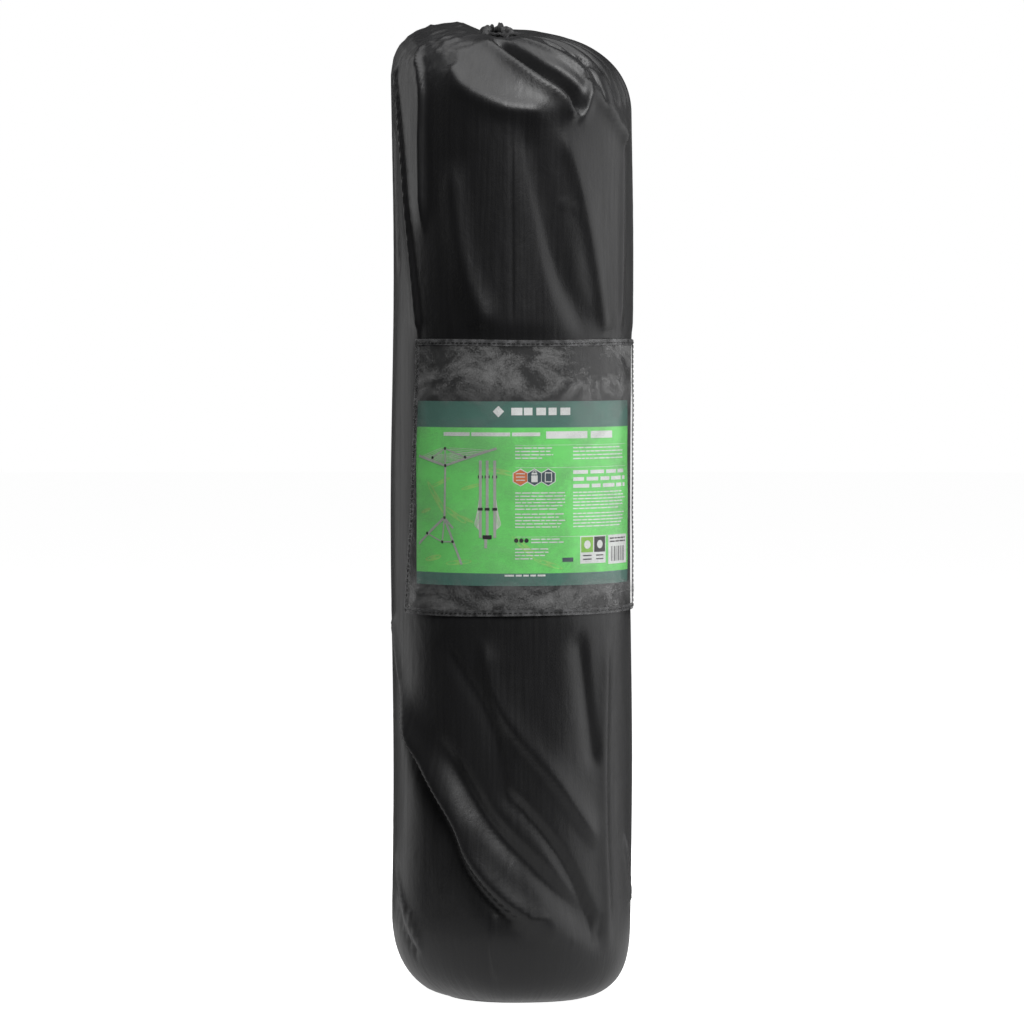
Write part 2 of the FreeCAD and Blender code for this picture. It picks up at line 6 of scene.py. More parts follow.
import bpy
import numpy as np
from bpy.props import (
    FloatProperty,
    FloatVectorProperty,
    IntProperty,
    PointerProperty,
)
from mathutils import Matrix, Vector


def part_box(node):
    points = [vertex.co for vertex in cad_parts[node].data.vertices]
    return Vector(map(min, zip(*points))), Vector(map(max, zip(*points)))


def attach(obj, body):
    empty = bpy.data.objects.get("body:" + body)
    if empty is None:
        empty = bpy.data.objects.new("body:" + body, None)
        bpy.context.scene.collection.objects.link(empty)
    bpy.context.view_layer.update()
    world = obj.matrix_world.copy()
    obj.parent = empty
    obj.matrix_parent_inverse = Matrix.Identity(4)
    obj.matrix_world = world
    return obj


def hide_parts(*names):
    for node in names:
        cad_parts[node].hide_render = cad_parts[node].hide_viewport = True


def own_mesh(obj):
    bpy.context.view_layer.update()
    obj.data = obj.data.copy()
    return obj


bl_info = {
    "name": "Packed rotary clothesline",
    "version": (1, 0, 0),
    "blender": (4, 5, 0),
    "location": "3D View > Sidebar > Clothesline",
    "description": "Builds the visual model of a rotary clothesline packed in its drawstring bag",
    "category": "Object",
}

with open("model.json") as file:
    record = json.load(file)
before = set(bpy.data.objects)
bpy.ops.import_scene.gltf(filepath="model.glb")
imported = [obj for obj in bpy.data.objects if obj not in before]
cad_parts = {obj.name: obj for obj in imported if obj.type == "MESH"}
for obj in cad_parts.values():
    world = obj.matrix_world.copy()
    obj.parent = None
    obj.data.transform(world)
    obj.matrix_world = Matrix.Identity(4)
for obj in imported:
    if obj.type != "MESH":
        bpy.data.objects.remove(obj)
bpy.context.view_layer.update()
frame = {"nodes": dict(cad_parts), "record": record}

MM = 0.001
BAG_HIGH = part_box("bag_body")[1]
CARD_LOW, CARD_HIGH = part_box("label_card")
POCKET_LOW, POCKET_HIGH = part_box("label_pocket")
BAG_RADIUS = BAG_HIGH.x

# Where the base panel's seam lies round the bottom corner, as a turn from the wall.
SEAM_TURN = math.radians(73)
CORNER_FLAT = 30 * MM
# Each weight (left, right, front and back) has its own corner and shoulder.
CORNER_POWER = (2.4, 3.5, 2.5)
SHOULDER = (740 * MM, 730 * MM, 722 * MM)
CROWN_RISE = (60 * MM, 66 * MM, 69 * MM)
CROWN_POWER = (3.5, 2.05, 1.75)
MOUTH_DIP = (9 * MM, 5 * MM, 0.0)
MOUTH_DIP_WIDTH = 14 * MM
MOUTH_SHIFT = (-12 * MM, -19 * MM)
MOUTH_TILT = 5 * MM
MOUTH_HEIGHT = SHOULDER[2] + CROWN_RISE[2]


# ---------------------------------------------------------------- settings


class BagSettings(bpy.types.PropertyGroup):
    """Sizes and finish of the drawstring bag"""

    cloth_thickness: FloatProperty(
        name="Cloth thickness", description="Thickness of the bag's cloth",
        default=0.8 * MM, min=0.1 * MM, unit="LENGTH")
    corner_height: FloatProperty(
        name="Corner height", description="Height at which the bottom corner becomes the wall",
        default=75 * MM, unit="LENGTH")
    mouth_radius: FloatProperty(
        name="Mouth radius", description="Radius of the gathered mouth",
        default=13 * MM, unit="LENGTH")
    columns: IntProperty(
        name="Columns", description="Faces round the bag", default=284, min=60)
    rows: IntProperty(
        name="Rows", description="Faces up the bag", default=170, min=40)
    fold_strength: FloatProperty(
        name="Fold strength", description="Depth of the folds as a share of their own depth",
        default=1.35, min=0.0, subtype="FACTOR")
    cord_diameter: FloatProperty(
        name="Cord diameter", description="Diameter of the drawcord",
        default=3 * MM, unit="LENGTH")
    colour: FloatVectorProperty(
        name="Cloth colour", description="Colour of the satin cloth",
        default=(0.0115, 0.0115, 0.0122), subtype="COLOR", size=3, min=0, max=1)


class LabelSettings(bpy.types.PropertyGroup):
    """Sizes and colours of the printed card and of its clear pocket"""

    card_thickness: FloatProperty(
        name="Card thickness", description="Thickness of the printed card",
        default=0.35 * MM, unit="LENGTH")
    ink_lift: FloatProperty(
        name="Ink lift", description="How far the print stands proud of the card",
        default=0.06 * MM, unit="LENGTH")
    green: FloatVectorProperty(
        name="Card green", description="Colour of the card's main field",
        default=(0.20, 0.85, 0.19), subtype="COLOR", size=3, min=0, max=1)
    slate: FloatVectorProperty(
        name="Card slate", description="Colour of the card's head and foot bands",
        default=(0.075, 0.2, 0.16), subtype="COLOR", size=3, min=0, max=1)
    # The film's grey haze is partly its dust and partly a painted sheen.
    film_haze: FloatProperty(
        name="Film haze", description="How dusty the clear film looks",
        default=0.18, min=0, max=1, subtype="FACTOR")
    stitch_pitch: FloatProperty(
        name="Stitch pitch", description="Distance from one stitch to the next",
        default=4 * MM, unit="LENGTH")


class FittingSettings(bpy.types.PropertyGroup):
    """Finishes of the tubes, brackets and lines"""

    tube_colour: FloatVectorProperty(
        name="Tube colour", description="Colour of the drawn aluminium",
        default=(0.72, 0.73, 0.74), subtype="COLOR", size=3, min=0, max=1)
    plastic_colour: FloatVectorProperty(
        name="Plastic colour", description="Colour of the moulded brackets",
        default=(0.02, 0.02, 0.022), subtype="COLOR", size=3, min=0, max=1)
    line_colour: FloatVectorProperty(
        name="Line colour", description="Colour of the washing line",
        default=(0.8, 0.81, 0.8), subtype="COLOR", size=3, min=0, max=1)


class StageSettings(bpy.types.PropertyGroup):
    """Camera, floor and lights"""

    camera_distance: FloatProperty(
        name="Camera distance", description="Distance from the bag's axis to the camera",
        default=3.7, unit="LENGTH")
    camera_height: FloatProperty(
        name="Camera height", description="Height of the camera above the floor",
        default=0.548, unit="LENGTH")
    aim_height: FloatProperty(
        name="Aim height", description="Height of the point that the camera looks at",
        default=0.40, unit="LENGTH")
    view_height: FloatProperty(
        name="View height", description="Height that the frame takes in at the bag's axis",
        default=0.842, unit="LENGTH")
    right_light: FloatProperty(
        name="Right light", description="Power of the light at the right", default=23, unit="POWER")
    left_light: FloatProperty(
        name="Left light", description="Power of the light at the left", default=6, unit="POWER")
    top_light: FloatProperty(
        name="Top light", description="Power of the light overhead", default=22, unit="POWER")
    front_light: FloatProperty(
        name="Front light", description="Power of the light above the camera", default=40, unit="POWER")
    floor_light: FloatProperty(
        name="Floor light", description="Power of the light thrown back by the floor",
        default=1.8, unit="POWER")


# ---------------------------------------------------------------- modelling helpers


def only(piece):
    """Select one piece alone and make it the active one."""
    if bpy.context.object and bpy.context.object.mode != "OBJECT":
        bpy.ops.object.mode_set(mode="OBJECT")
    bpy.ops.object.select_all(action="DESELECT")
    piece.select_set(True)
    bpy.context.view_layer.objects.active = piece
    return piece


def start(name):
    """Name the primitive that was just added, and its mesh."""
    piece = bpy.context.object
    piece.name = name
    piece.data.name = name
    return piece


def points_of(piece):
    """The piece's points as rows of x, y and z."""
    found = np.empty(len(piece.data.vertices) * 3)
    piece.data.vertices.foreach_get("co", found)
    return found.reshape(-1, 3)


def place_points(piece, points):
    """Move the piece's points."""
    piece.data.vertices.foreach_set("co", np.ascontiguousarray(points, dtype=float).ravel())
    piece.data.update()


def join(name, pieces):
    """Join pieces into one of that name."""
    only(pieces[0])
    for piece in pieces[1:]:
        piece.select_set(True)
    if len(pieces) > 1:
        bpy.ops.object.join()
    return start(name)


def add_modifier(piece, kind, **values):
    """Add a modifier with these values and apply it."""
    only(piece)
    modifier = piece.modifiers.new(kind.title(), kind)
    for key, value in values.items():
        setattr(modifier, key, value)
    bpy.ops.object.modifier_apply(modifier=modifier.name)
    return piece


def merge_seam(piece, gap=1e-6):
    """Close the seams where points coincide, and turn the faces outwards."""
    only(piece)
    bpy.ops.object.mode_set(mode="EDIT")
    bpy.ops.mesh.select_all(action="SELECT")
    bpy.ops.mesh.remove_doubles(threshold=gap)
    bpy.ops.mesh.normals_make_consistent(inside=False)
    bpy.ops.object.mode_set(mode="OBJECT")
    return piece


def smooth(piece, angle=60):
    """Shade the piece smooth but keep edges sharper than the angle."""
    only(piece)
    bpy.ops.object.shade_smooth_by_angle(angle=math.radians(angle))
    return piece


def grid_sheet(name, columns, rows, place):
    """A sheet of columns by rows faces, laid where place(across, up) says for values from 0 to 1."""
    bpy.ops.object.select_all(action="DESELECT")
    bpy.ops.mesh.primitive_grid_add(x_subdivisions=columns, y_subdivisions=rows, size=1, calc_uvs=True)
    piece = start(name)
    flat = points_of(piece)
    place_points(piece, place(flat[:, 0] + 0.5, flat[:, 1] + 0.5))
    return piece


def scale_uv(piece, width, height):
    """Give the piece's UV map the cloth's own size in metres."""
    layer = piece.data.uv_layers[0]
    layer.name = "cloth"
    values = np.empty(len(layer.data) * 2)
    layer.data.foreach_get("uv", values)
    values = values.reshape(-1, 2) * (width, height)
    layer.data.foreach_set("uv", values.ravel())


def soft(piece, slot, material, *replaced):
    """Give a soft piece its finish, and let it ride on the bag."""
    piece.data.materials.clear()
    piece.data.materials.append(material)
    ride_on_bag(piece, slot, *replaced)


def ride_on_bag(piece, slot, *replaced):
    """Let a soft piece ride on the bag, and hide the parts that it replaces."""
    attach(piece, "bag")
    if replaced:
        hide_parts(*replaced)
    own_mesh(piece)


def tube_along(name, points, radius, closed=False, resolution=6, sides=3):
    """A round cord along points, as a mesh."""
    curve = bpy.data.curves.new(name, "CURVE")
    curve.dimensions = "3D"
    curve.bevel_depth = radius
    curve.bevel_resolution = sides
    curve.use_fill_caps = True
    curve.resolution_u = resolution
    spline = curve.splines.new("NURBS")
    spline.points.add(len(points) - 1)
    for control, point in zip(spline.points, points):
        control.co = (*point, 1)
    spline.use_cyclic_u = closed
    spline.use_endpoint_u = not closed
    spline.order_u = 4
    piece = bpy.data.objects.new(name, curve)
    bpy.context.collection.objects.link(piece)
    only(piece)
    bpy.ops.object.convert(target="MESH")
    return start(name)


# ---------------------------------------------------------------- finishes


def finish(name, colour, roughness, metallic=0.0):
    """A new material and its shader."""
    material = bpy.data.materials.new(name)
    material.use_nodes = True
    shader = material.node_tree.nodes["Principled BSDF"]
    shader.inputs["Base Color"].default_value = (*colour, 1)
    shader.inputs["Roughness"].default_value = roughness
    shader.inputs["Metallic"].default_value = metallic
    return material, shader


class Wiring:
    """Adds nodes to a material and joins them."""

    def __init__(self, material):
        self.tree = material.node_tree
        self.shader = self.tree.nodes["Principled BSDF"]

    def node(self, kind, **values):
        made = self.tree.nodes.new(kind)
        for key, value in values.items():
            setattr(made, key, value)
        return made

    def link(self, source, target):
        self.tree.links.new(source, target)

    def coordinates(self, scale, source="Object"):
        """Object or UV coordinates, scaled."""
        place = self.node("ShaderNodeTexCoord")
        mapping = self.node("ShaderNodeMapping")
        mapping.inputs["Scale"].default_value = scale
        self.link(place.outputs[source], mapping.inputs["Vector"])
        return mapping.outputs["Vector"]

    def noise(self, scale, source="Object", detail=3.0, rough=0.5, distortion=0.0):
        made = self.node("ShaderNodeTexNoise")
        made.inputs["Scale"].default_value = 1.0
        made.inputs["Detail"].default_value = detail
        made.inputs["Roughness"].default_value = rough
        made.inputs["Distortion"].default_value = distortion
        self.link(self.coordinates(scale, source), made.inputs["Vector"])
        return made.outputs["Fac"]

    def spread(self, value, low, high, start=0.3, end=0.7):
        """Map a value from start-end to low-high."""
        made = self.node("ShaderNodeMapRange")
        for key, number in (("From Min", start), ("From Max", end), ("To Min", low), ("To Max", high)):
            made.inputs[key].default_value = number
        self.link(value, made.inputs["Value"])
        return made.outputs["Result"]

    def reckon(self, operation, *values, clamp=False):
        """A Math node: each value is a number or another node's output."""
        made = self.node("ShaderNodeMath", operation=operation, use_clamp=clamp)
        for socket, value in zip(made.inputs, values):
            if isinstance(value, bpy.types.NodeSocket):
                self.link(value, socket)
            else:
                socket.default_value = value
        return made.outputs["Value"]

    def paint(self, value, *stops):
        """Colour the shader along a value: stops are (place, colour)."""
        made = self.node("ShaderNodeValToRGB")
        band = made.color_ramp
        for element, (place, colour) in zip(band.elements, stops):
            element.position = place
            element.color = (*colour, 1)
        self.link(value, made.inputs["Fac"])
        self.link(made.outputs["Color"], self.shader.inputs["Base Color"])

    def roughen(self, value, low, high):
        """Vary the shader's roughness along a value."""
        self.link(self.spread(value, low, high), self.shader.inputs["Roughness"])

    def bump(self, height, strength, distance, under=None):
        """Raise the shader's surface along a height, on top of an earlier bump."""
        made = self.node("ShaderNodeBump")
        made.inputs["Strength"].default_value = strength
        made.inputs["Distance"].default_value = distance
        self.link(height, made.inputs["Height"])
        if under is not None:
            self.link(under, made.inputs["Normal"])
        self.link(made.outputs["Normal"], self.shader.inputs["Normal"])
        return made.outputs["Normal"]


def tinted(colour, share):
    """The colour times a share."""
    return tuple(min(1.0, channel * share) for channel in colour)


def satin_cloth(name, colour, roughness=0.39):
    """Filament satin: fine yarns along the cloth, a soft sheen and uneven gloss."""
    material, shader = finish(name, colour, roughness)
    shader.inputs["Specular IOR Level"].default_value = 0.42
    shader.inputs["Sheen Weight"].default_value = 0.06
    shader.inputs["Sheen Roughness"].default_value = 0.4
    wires = Wiring(material)
    patches = wires.noise((9, 5, 1), "UV", detail=4)
    yarn = wires.noise((1900, 90, 1), "UV", detail=2)
    slub = wires.noise((260, 14, 1), "UV", detail=2)
    crease = wires.noise((48, 30, 1), "UV", detail=6, rough=0.62, distortion=0.5)
    wires.paint(patches, (0.3, tinted(colour, 0.8)), (0.72, tinted(colour, 1.25)))
    wires.roughen(slub, roughness - 0.045, roughness + 0.05)
    grain = wires.bump(yarn, strength=0.5, distance=0.06 * MM)
    streaks = wires.bump(slub, strength=0.45, distance=0.14 * MM, under=grain)
    wires.bump(crease, strength=0.35, distance=1.3 * MM, under=streaks)
    return material


def braid(name, colour):
    """Braided cord: two ways of twisted strands."""
    material = finish(name, colour, 0.7)[0]
    wires = Wiring(material)
    wave = wires.node("ShaderNodeTexWave", wave_type="BANDS", bands_direction="DIAGONAL")
    wave.inputs["Scale"].default_value = 1.0
    wave.inputs["Distortion"].default_value = 1.5
    wires.link(wires.coordinates((420, 420, 420)), wave.inputs["Vector"])
    wires.paint(wave.outputs["Fac"], (0.2, tinted(colour, 0.5)), (0.8, tinted(colour, 1.5)))
    wires.bump(wave.outputs["Fac"], strength=0.6, distance=0.4 * MM)
    return material


def drawn_tube(name, colour):
    """Drawn aluminium: long fine scratches and faint handling marks."""
    material = finish(name, colour, 0.3, 1.0)[0]
    wires = Wiring(material)
    scratches = wires.noise((900, 900, 12))
    marks = wires.noise((18, 18, 6), detail=5, rough=0.6)
    wires.roughen(scratches, 0.24, 0.38)
    wires.paint(marks, (0.3, tinted(colour, 0.86)), (0.6, colour))
    wires.bump(scratches, strength=0.2, distance=0.05 * MM)
    return material


def moulded(name, colour, roughness=0.42):
    """Moulded plastic or rubber: spark-eroded grain and slightly worn patches."""
    material = finish(name, colour, roughness)[0]
    wires = Wiring(material)
    grain = wires.noise((1400, 1400, 1400), detail=2)
    worn = wires.noise((40, 40, 40), detail=4, rough=0.6)
    wires.roughen(worn, roughness - 0.07, roughness + 0.1)
    wires.paint(worn, (0.35, tinted(colour, 0.85)), (0.75, tinted(colour, 1.4)))
    wires.bump(grain, strength=0.25, distance=0.08 * MM)
    return material


def printed(name, colour, roughness=0.35):
    """Litho print on coated card, with a faint mottle."""
    material, shader = finish(name, colour, roughness)
    shader.inputs["Coat Weight"].default_value = 0.25
    shader.inputs["Coat Roughness"].default_value = 0.2
    wires = Wiring(material)
    mottle = wires.noise((70, 70, 70), detail=6, rough=0.7)
    wires.paint(mottle, (0.25, tinted(colour, 0.9)), (0.75, tinted(colour, 1.1)))
    return material


# ---------------------------------------------------------------- the bag's shape


def mix_round(angle, values):
    """A size that differs at the left, at the right and at the front and back."""
    left = np.clip(-np.sin(angle), 0, 1) ** 2
    right = np.clip(np.sin(angle), 0, 1) ** 2
    return values[0] * left + values[1] * right + values[2] * (1 - left - right)


def resting_bag(bag, angle, station):
    """Points of the smooth bag. angle is round it from the front towards +X; station
    runs from 0 at the base seam to 1 at the wall, 2 at the shoulder and 3 at the mouth."""
    turn = (1 - np.clip(station, 0, 1)) * SEAM_TURN
    power = mix_round(angle, CORNER_POWER)
    radius = CORNER_FLAT + (BAG_RADIUS - CORNER_FLAT) * np.cos(turn) ** (2 / power)
    height = bag.corner_height * (1 - np.sin(turn) ** (2 / power))
    shoulder = mix_round(angle, SHOULDER)
    height = height + (shoulder - bag.corner_height) * np.clip(station - 1, 0, 1)
    over = np.clip(station - 2, 0, 1) * math.pi / 2
    power = mix_round(angle, CROWN_POWER)
    inward = 1 - np.clip(np.cos(over), 0, 1) ** (2 / power)
    radius = radius - (BAG_RADIUS - bag.mouth_radius) * inward
    height = height + mix_round(angle, CROWN_RISE) * np.sin(over) ** (2 / power)
    close = (radius - bag.mouth_radius) / MOUTH_DIP_WIDTH
    height = height - mix_round(angle, MOUTH_DIP) * np.exp(-close ** 2) * (station > 2)
    # The mouth lies forward of the middle and leans to the front.
    pull = inward ** 2
    height = height - MOUTH_TILT * np.cos(angle) * pull
    return np.stack([radius * np.sin(angle) + MOUTH_SHIFT[0] * pull,
                     MOUTH_SHIFT[1] * pull - radius * np.cos(angle), height], axis=-1)


def station_at(bag, angle, height):
    """The station of the smooth bag at an angle and a height."""
    if height < bag.corner_height:
        power = mix_round(angle, CORNER_POWER)
        turn = math.asin(min(1.0, (1 - height / bag.corner_height) ** (power / 2)))
        return max(0.0, 1 - turn / SEAM_TURN)
    shoulder = mix_round(angle, SHOULDER)
    if height < shoulder:
        return 1 + (height - bag.corner_height) / (shoulder - bag.corner_height)
    share = min(1.0, (height - shoulder) / mix_round(angle, CROWN_RISE))
    return 2 + math.asin(share ** (mix_round(angle, CROWN_POWER) / 2)) * 2 / math.pi


def outward(bag, angle, station):
    """The smooth bag's normals."""
    step = 1e-4
    round_it = resting_bag(bag, angle + step, station) - resting_bag(bag, angle - step, station)
    up_it = resting_bag(bag, angle, np.minimum(station + step, 3)) - resting_bag(bag, angle, station - step)
    normal = np.cross(round_it, up_it)
    return normal / np.maximum(np.linalg.norm(normal, axis=-1, keepdims=True), 1e-12)


# Each fold runs from its top to its bottom: (angle in degrees, height in mm), then its depth, its
# width on the left and on the right in mm, and its crest, from 1 for a crease to 2 for a soft roll.
FOLDS = (
    # the raised edge at the left, and the step beside it
    ([(-74, 770), (-72, 749), (-64, 696), (-57, 631), (-51, 566), (-50, 543)], 2.6, 7, 1.6, 1.3),
    ([(-80, 720), (-76, 660), (-70, 590)], -2.2, 4, 3, 1.6),
    ([(-60, 782), (-47, 745), (-46.5, 700), (-45.5, 621)], 4.0, 13, 2.6, 1.3),
    # the deep tuck from the mouth, and the lip under it
    ([(-20, 789), (0, 779), (14, 764), (25, 751), (31, 740), (32, 731), (31, 723)], -9.6, 4.2, 5.6, 2.0),
    ([(-30, 787), (-12, 778), (3, 764), (15, 750), (24, 740), (29, 728), (33, 718)], 3.8, 8, 2.4, 1.6),
    ([(43, 752), (40, 740), (37, 727), (32, 718)], 2.4, 2.4, 5, 1.5),
    ([(10, 789), (28, 776), (38, 763), (43, 750)], 3.0, 3.5, 3.5, 1.8),
    ([(34, 785), (42, 776), (50, 766), (56, 757)], -3.4, 1.8, 2.2, 1.5),
    ([(38, 742), (56, 722), (70, 700)], 3.0, 6, 9, 1.6),
    # soft rolls and valleys between the mouth and the pocket
    ([(4, 728), (14, 652), (24, 589), (41, 542)], -3.2, 9, 13, 2.0),
    ([(-30, 690), (-23, 605), (-10, 545)], 2.8, 11, 9, 1.8),
    ([(-35, 765), (-25, 745), (-3, 728), (20, 722)], 2.4, 8, 8, 1.8),
    ([(22, 716), (35, 653), (47, 574), (50, 543)], 2.8, 6, 15, 1.6),
    ([(66, 730), (66, 640), (64, 543)], 1.8, 5, 5, 1.6),
    ([(22, 650), (28, 649), (33.5, 644)], 0.9, 1.3, 1.3, 1.4),
    # the seam down the front
    ([(0, 712), (0, 640), (0, 543)], -0.7, 1.1, 1.1, 1.3),
    # the long fold below the pocket
    ([(-79, 318), (-77, 303), (-69, 262), (-59, 228), (-47, 198)], 2.4, 2.2, 7, 1.6),
    ([(-69, 266), (-57, 224), (-49, 204), (-38, 177), (-27, 149), (-20, 121), (-5.5, 92),
      (14, 69), (41, 43)], 6.0, 3.6, 14, 1.8),
    ([(-73, 272), (-61, 224), (-52, 204), (-41, 177), (-30, 149), (-23, 121), (-9, 92), (10, 69)],
     -3.8, 9, 3.2, 1.5),
    ([(-40, 232), (-13, 158), (14, 110), (47, 60)], -4.4, 9, 7, 1.9),
    ([(-3, 182), (24, 125), (52, 47)], -4.2, 8, 3, 1.5),
    ([(-15, 307), (-5.5, 245), (24, 179), (47, 128)], 3.0, 5, 11, 1.6),
    ([(-36, 306), (-10, 237), (-1, 158)], -2.6, 9, 4, 1.8),
    ([(50, 310), (50, 180), (54, 40)], 1.8, 7, 6, 1.7),
    ([(33, 310), (38, 250), (44, 190)], -2.4, 9, 6, 1.8),
    ([(-80, 129), (-62, 75), (-49, 45)], 1.8, 2, 4, 1.4),
    ([(-74, 84), (-62, 54), (-54, 40)], -1.8, 2, 3, 1.4),
    ([(-9, 82), (-10, 50), (-8, 26)], 1.4, 1.5, 5, 1.4),
    ([(70, 140), (77, 100), (80, 78)], 2.0, 3, 3, 1.5),
    # the back, where the loose cloth hangs in long slanting folds
    ([(100, 700), (122, 600), (140, 500), (150, 430)], 3.8, 4, 14, 1.5),
    ([(150, 745), (158, 660), (176, 560), (190, 470)], -3.2, 10, 6, 1.8),
    ([(205, 750), (212, 650), (228, 560), (240, 500)], 3.6, 13, 4, 1.5),
    ([(250, 690), (258, 560), (262, 430)], -2.6, 8, 8, 1.9),
    ([(120, 420), (150, 300), (185, 180), (215, 80)], 4.6, 3, 16, 1.4),
    ([(112, 380), (140, 270), (172, 160), (200, 70)], -3.2, 9, 3, 1.6),
    ([(190, 430), (212, 300), (236, 190), (255, 90)], 3.4, 6, 12, 1.6),
    ([(225, 420), (240, 330), (262, 240)], -2.6, 8, 6, 1.8),
    ([(105, 260), (118, 150), (128, 60)], 2.4, 4, 7, 1.6),
    ([(165, 120), (175, 70), (180, 30)], 1.8, 3, 5, 1.5),
)
PLEAT_ANGLES = (44, 55, 64, 73, 83, 95, 108, 122, 138, 152, 167, 181, 196, 211, 226, 240, 254)
PLEAT_DEPTH = 3.0
PLEAT_WIDTHS = (2.4, 3.4)
PLEAT_POWER = 1.5
PLEAT_STATIONS = (2.92, 2.7, 2.45, 2.2, 2.0)
# How far a pleat turns round the bag, in radians, from one station to the next.
PLEAT_TWIST = 0.1
# The share of a fold's length over which it fades at each end.
FOLD_END = 0.15

CRUMPLE_DIRECTIONS = 9
CRUMPLE_DEPTH = 2.8 * MM
# The creases' waves, fewest and most, in radians to the metre.
CRUMPLE_WAVES = (150, 420)
# How deep the creases are everywhere, and what the lobe beside the mouth adds.
CRUMPLE_SHARES = (0.08, 1.2)
LOBE_FOOT, LOBE_RISE = 742 * MM, 35 * MM
LOBE_MIDDLE, LOBE_REACH = -62, 42

SLOW_WAVES = (0.9 * MM, 0.5 * MM)

# The cloth behind the pocket: the angles in degrees that the film holds in, how it fades past them,
# the share of each valley that stays, and how far the film presses the cloth in.
CALM_ANGLES = (-74, 102)
CALM_FADE = 8
CALM_EDGE = 12 * MM
CALM_VALLEY = 0.35
CALM_PRESS = 0.5 * MM
# The folds grow from nothing at the base seam to their own depth at this station.
SEAM_HOLD = 0.18


def curve_through(points, count=48):
    """Points evenly along a smooth curve through points."""
    points = np.asarray(points, dtype=float)
    padded = np.vstack([2 * points[0] - points[1], points, 2 * points[-1] - points[-2]])
    spans = len(points) - 1
    where = np.linspace(0, spans - 1e-6, count)
    index = where.astype(int)
    t = (where - index)[:, None]
    a, b, c, d = (padded[index + k] for k in range(4))
    square, cube = 2 * a - 5 * b + 4 * c - d, 3 * b - a - 3 * c + d
    return 0.5 * (2 * b + (c - a) * t + square * t ** 2 + cube * t ** 3)


def fold_height(points, normals, route, depth, left, right, power):
    """How far one fold lifts each of the cloth's points."""
    nearest = np.full(len(points), np.inf)
    side = np.zeros(len(points))
    along = np.zeros(len(points))
    for step in range(len(route) - 1):
        start_point, span = route[step], route[step + 1] - route[step]
        share = np.clip(((points - start_point) @ span) / (span @ span), 0, 1)
        offset = points - (start_point + share[:, None] * span)
        distance = np.linalg.norm(offset, axis=1)
        closer = distance < nearest
        nearest[closer] = distance[closer]
        across = np.cross(normals, span)
        side[closer] = np.einsum("ij,ij->i", offset, across)[closer]
        along[closer] = ((step + share) / (len(route) - 1))[closer]
    width = np.where(side > 0, right, left)
    taper = np.clip(along / FOLD_END, 0, 1) * np.clip((1 - along) / FOLD_END, 0, 1)
    taper = taper * taper * (3 - 2 * taper)
    return depth * taper * np.exp(-(nearest / width) ** power)


def crumple(points):
    """Small creases that cross each other, from 0 to 1."""
    chance = np.random.default_rng(5)
    total = np.zeros(len(points))
    for _ in range(CRUMPLE_DIRECTIONS):
        way = chance.normal(size=3)
        way *= chance.uniform(*CRUMPLE_WAVES) / np.linalg.norm(way)
        total += 1 - np.abs(np.sin(points @ way + chance.uniform(0, math.tau)))
    return (total / CRUMPLE_DIRECTIONS) ** 2


def pocket_calm(points):
    """1 behind the pocket, where its stiff film keeps the cloth in, and 0 away from it."""
    angle = np.degrees(np.arctan2(points[:, 0], -points[:, 1]))
    height = points[:, 2]
    inside = np.clip((height - POCKET_LOW.z + CALM_EDGE) / CALM_EDGE, 0, 1)
    inside *= np.clip((POCKET_HIGH.z + CALM_EDGE - height) / CALM_EDGE, 0, 1)
    inside *= np.clip((angle - CALM_ANGLES[0]) / CALM_FADE, 0, 1)
    return inside * np.clip((CALM_ANGLES[1] - angle) / CALM_FADE, 0, 1)


def fold_lift(bag, points, normals):
    """How far the folds and the pleats together lift the cloth's points."""
    lift = np.zeros(len(points))
    for route, depth, left, right, power in FOLDS:
        turns = [(math.radians(turn), height * MM) for turn, height in route]
        placed = [resting_bag(bag, turn, station_at(bag, turn, height)) for turn, height in turns]
        lift += fold_height(points, normals, curve_through(placed), depth * MM, left * MM, right * MM, power)
    left, right = PLEAT_WIDTHS
    for pleat in PLEAT_ANGLES:
        turn = math.radians(pleat)
        placed = [resting_bag(bag, turn + PLEAT_TWIST * (3 - at), at) for at in PLEAT_STATIONS]
        lift -= fold_height(points, normals, curve_through(placed, 24),
                            PLEAT_DEPTH * MM, left * MM, right * MM, PLEAT_POWER)
    return lift


def hanging_cloth(bag, angle, station):
    """Points of the bag's cloth with its folds."""
    points = resting_bag(bag, angle, station)
    height = points[:, 2]
    normals = outward(bag, angle, station)
    lift = fold_lift(bag, points, normals)
    lobe = np.clip((height - LOBE_FOOT) / LOBE_RISE, 0, 1)
    lobe = lobe * np.exp(-(((np.degrees(angle) - LOBE_MIDDLE) / LOBE_REACH) ** 2))
    lift += CRUMPLE_DEPTH * crumple(points) * (CRUMPLE_SHARES[0] + CRUMPLE_SHARES[1] * lobe)
    # Slow waves, because loose cloth is nowhere truly round.
    lift += SLOW_WAVES[0] * np.sin(3 * angle + 9 * height) * np.sin(7.5 * height + 1.0)
    lift += SLOW_WAVES[1] * np.sin(5 * angle - 14 * height + 2.0)
    calm = pocket_calm(points)
    lift = lift * (1 - calm) + calm * np.minimum(lift, 0) * CALM_VALLEY
    lift -= CALM_PRESS * calm
    lift *= bag.fold_strength * np.clip(station / SEAM_HOLD, 0, 1)
    return points + normals * lift[:, None]


# How much closer together the faces lie at the front than at the back.
FRONT_CROWDING = 0.36


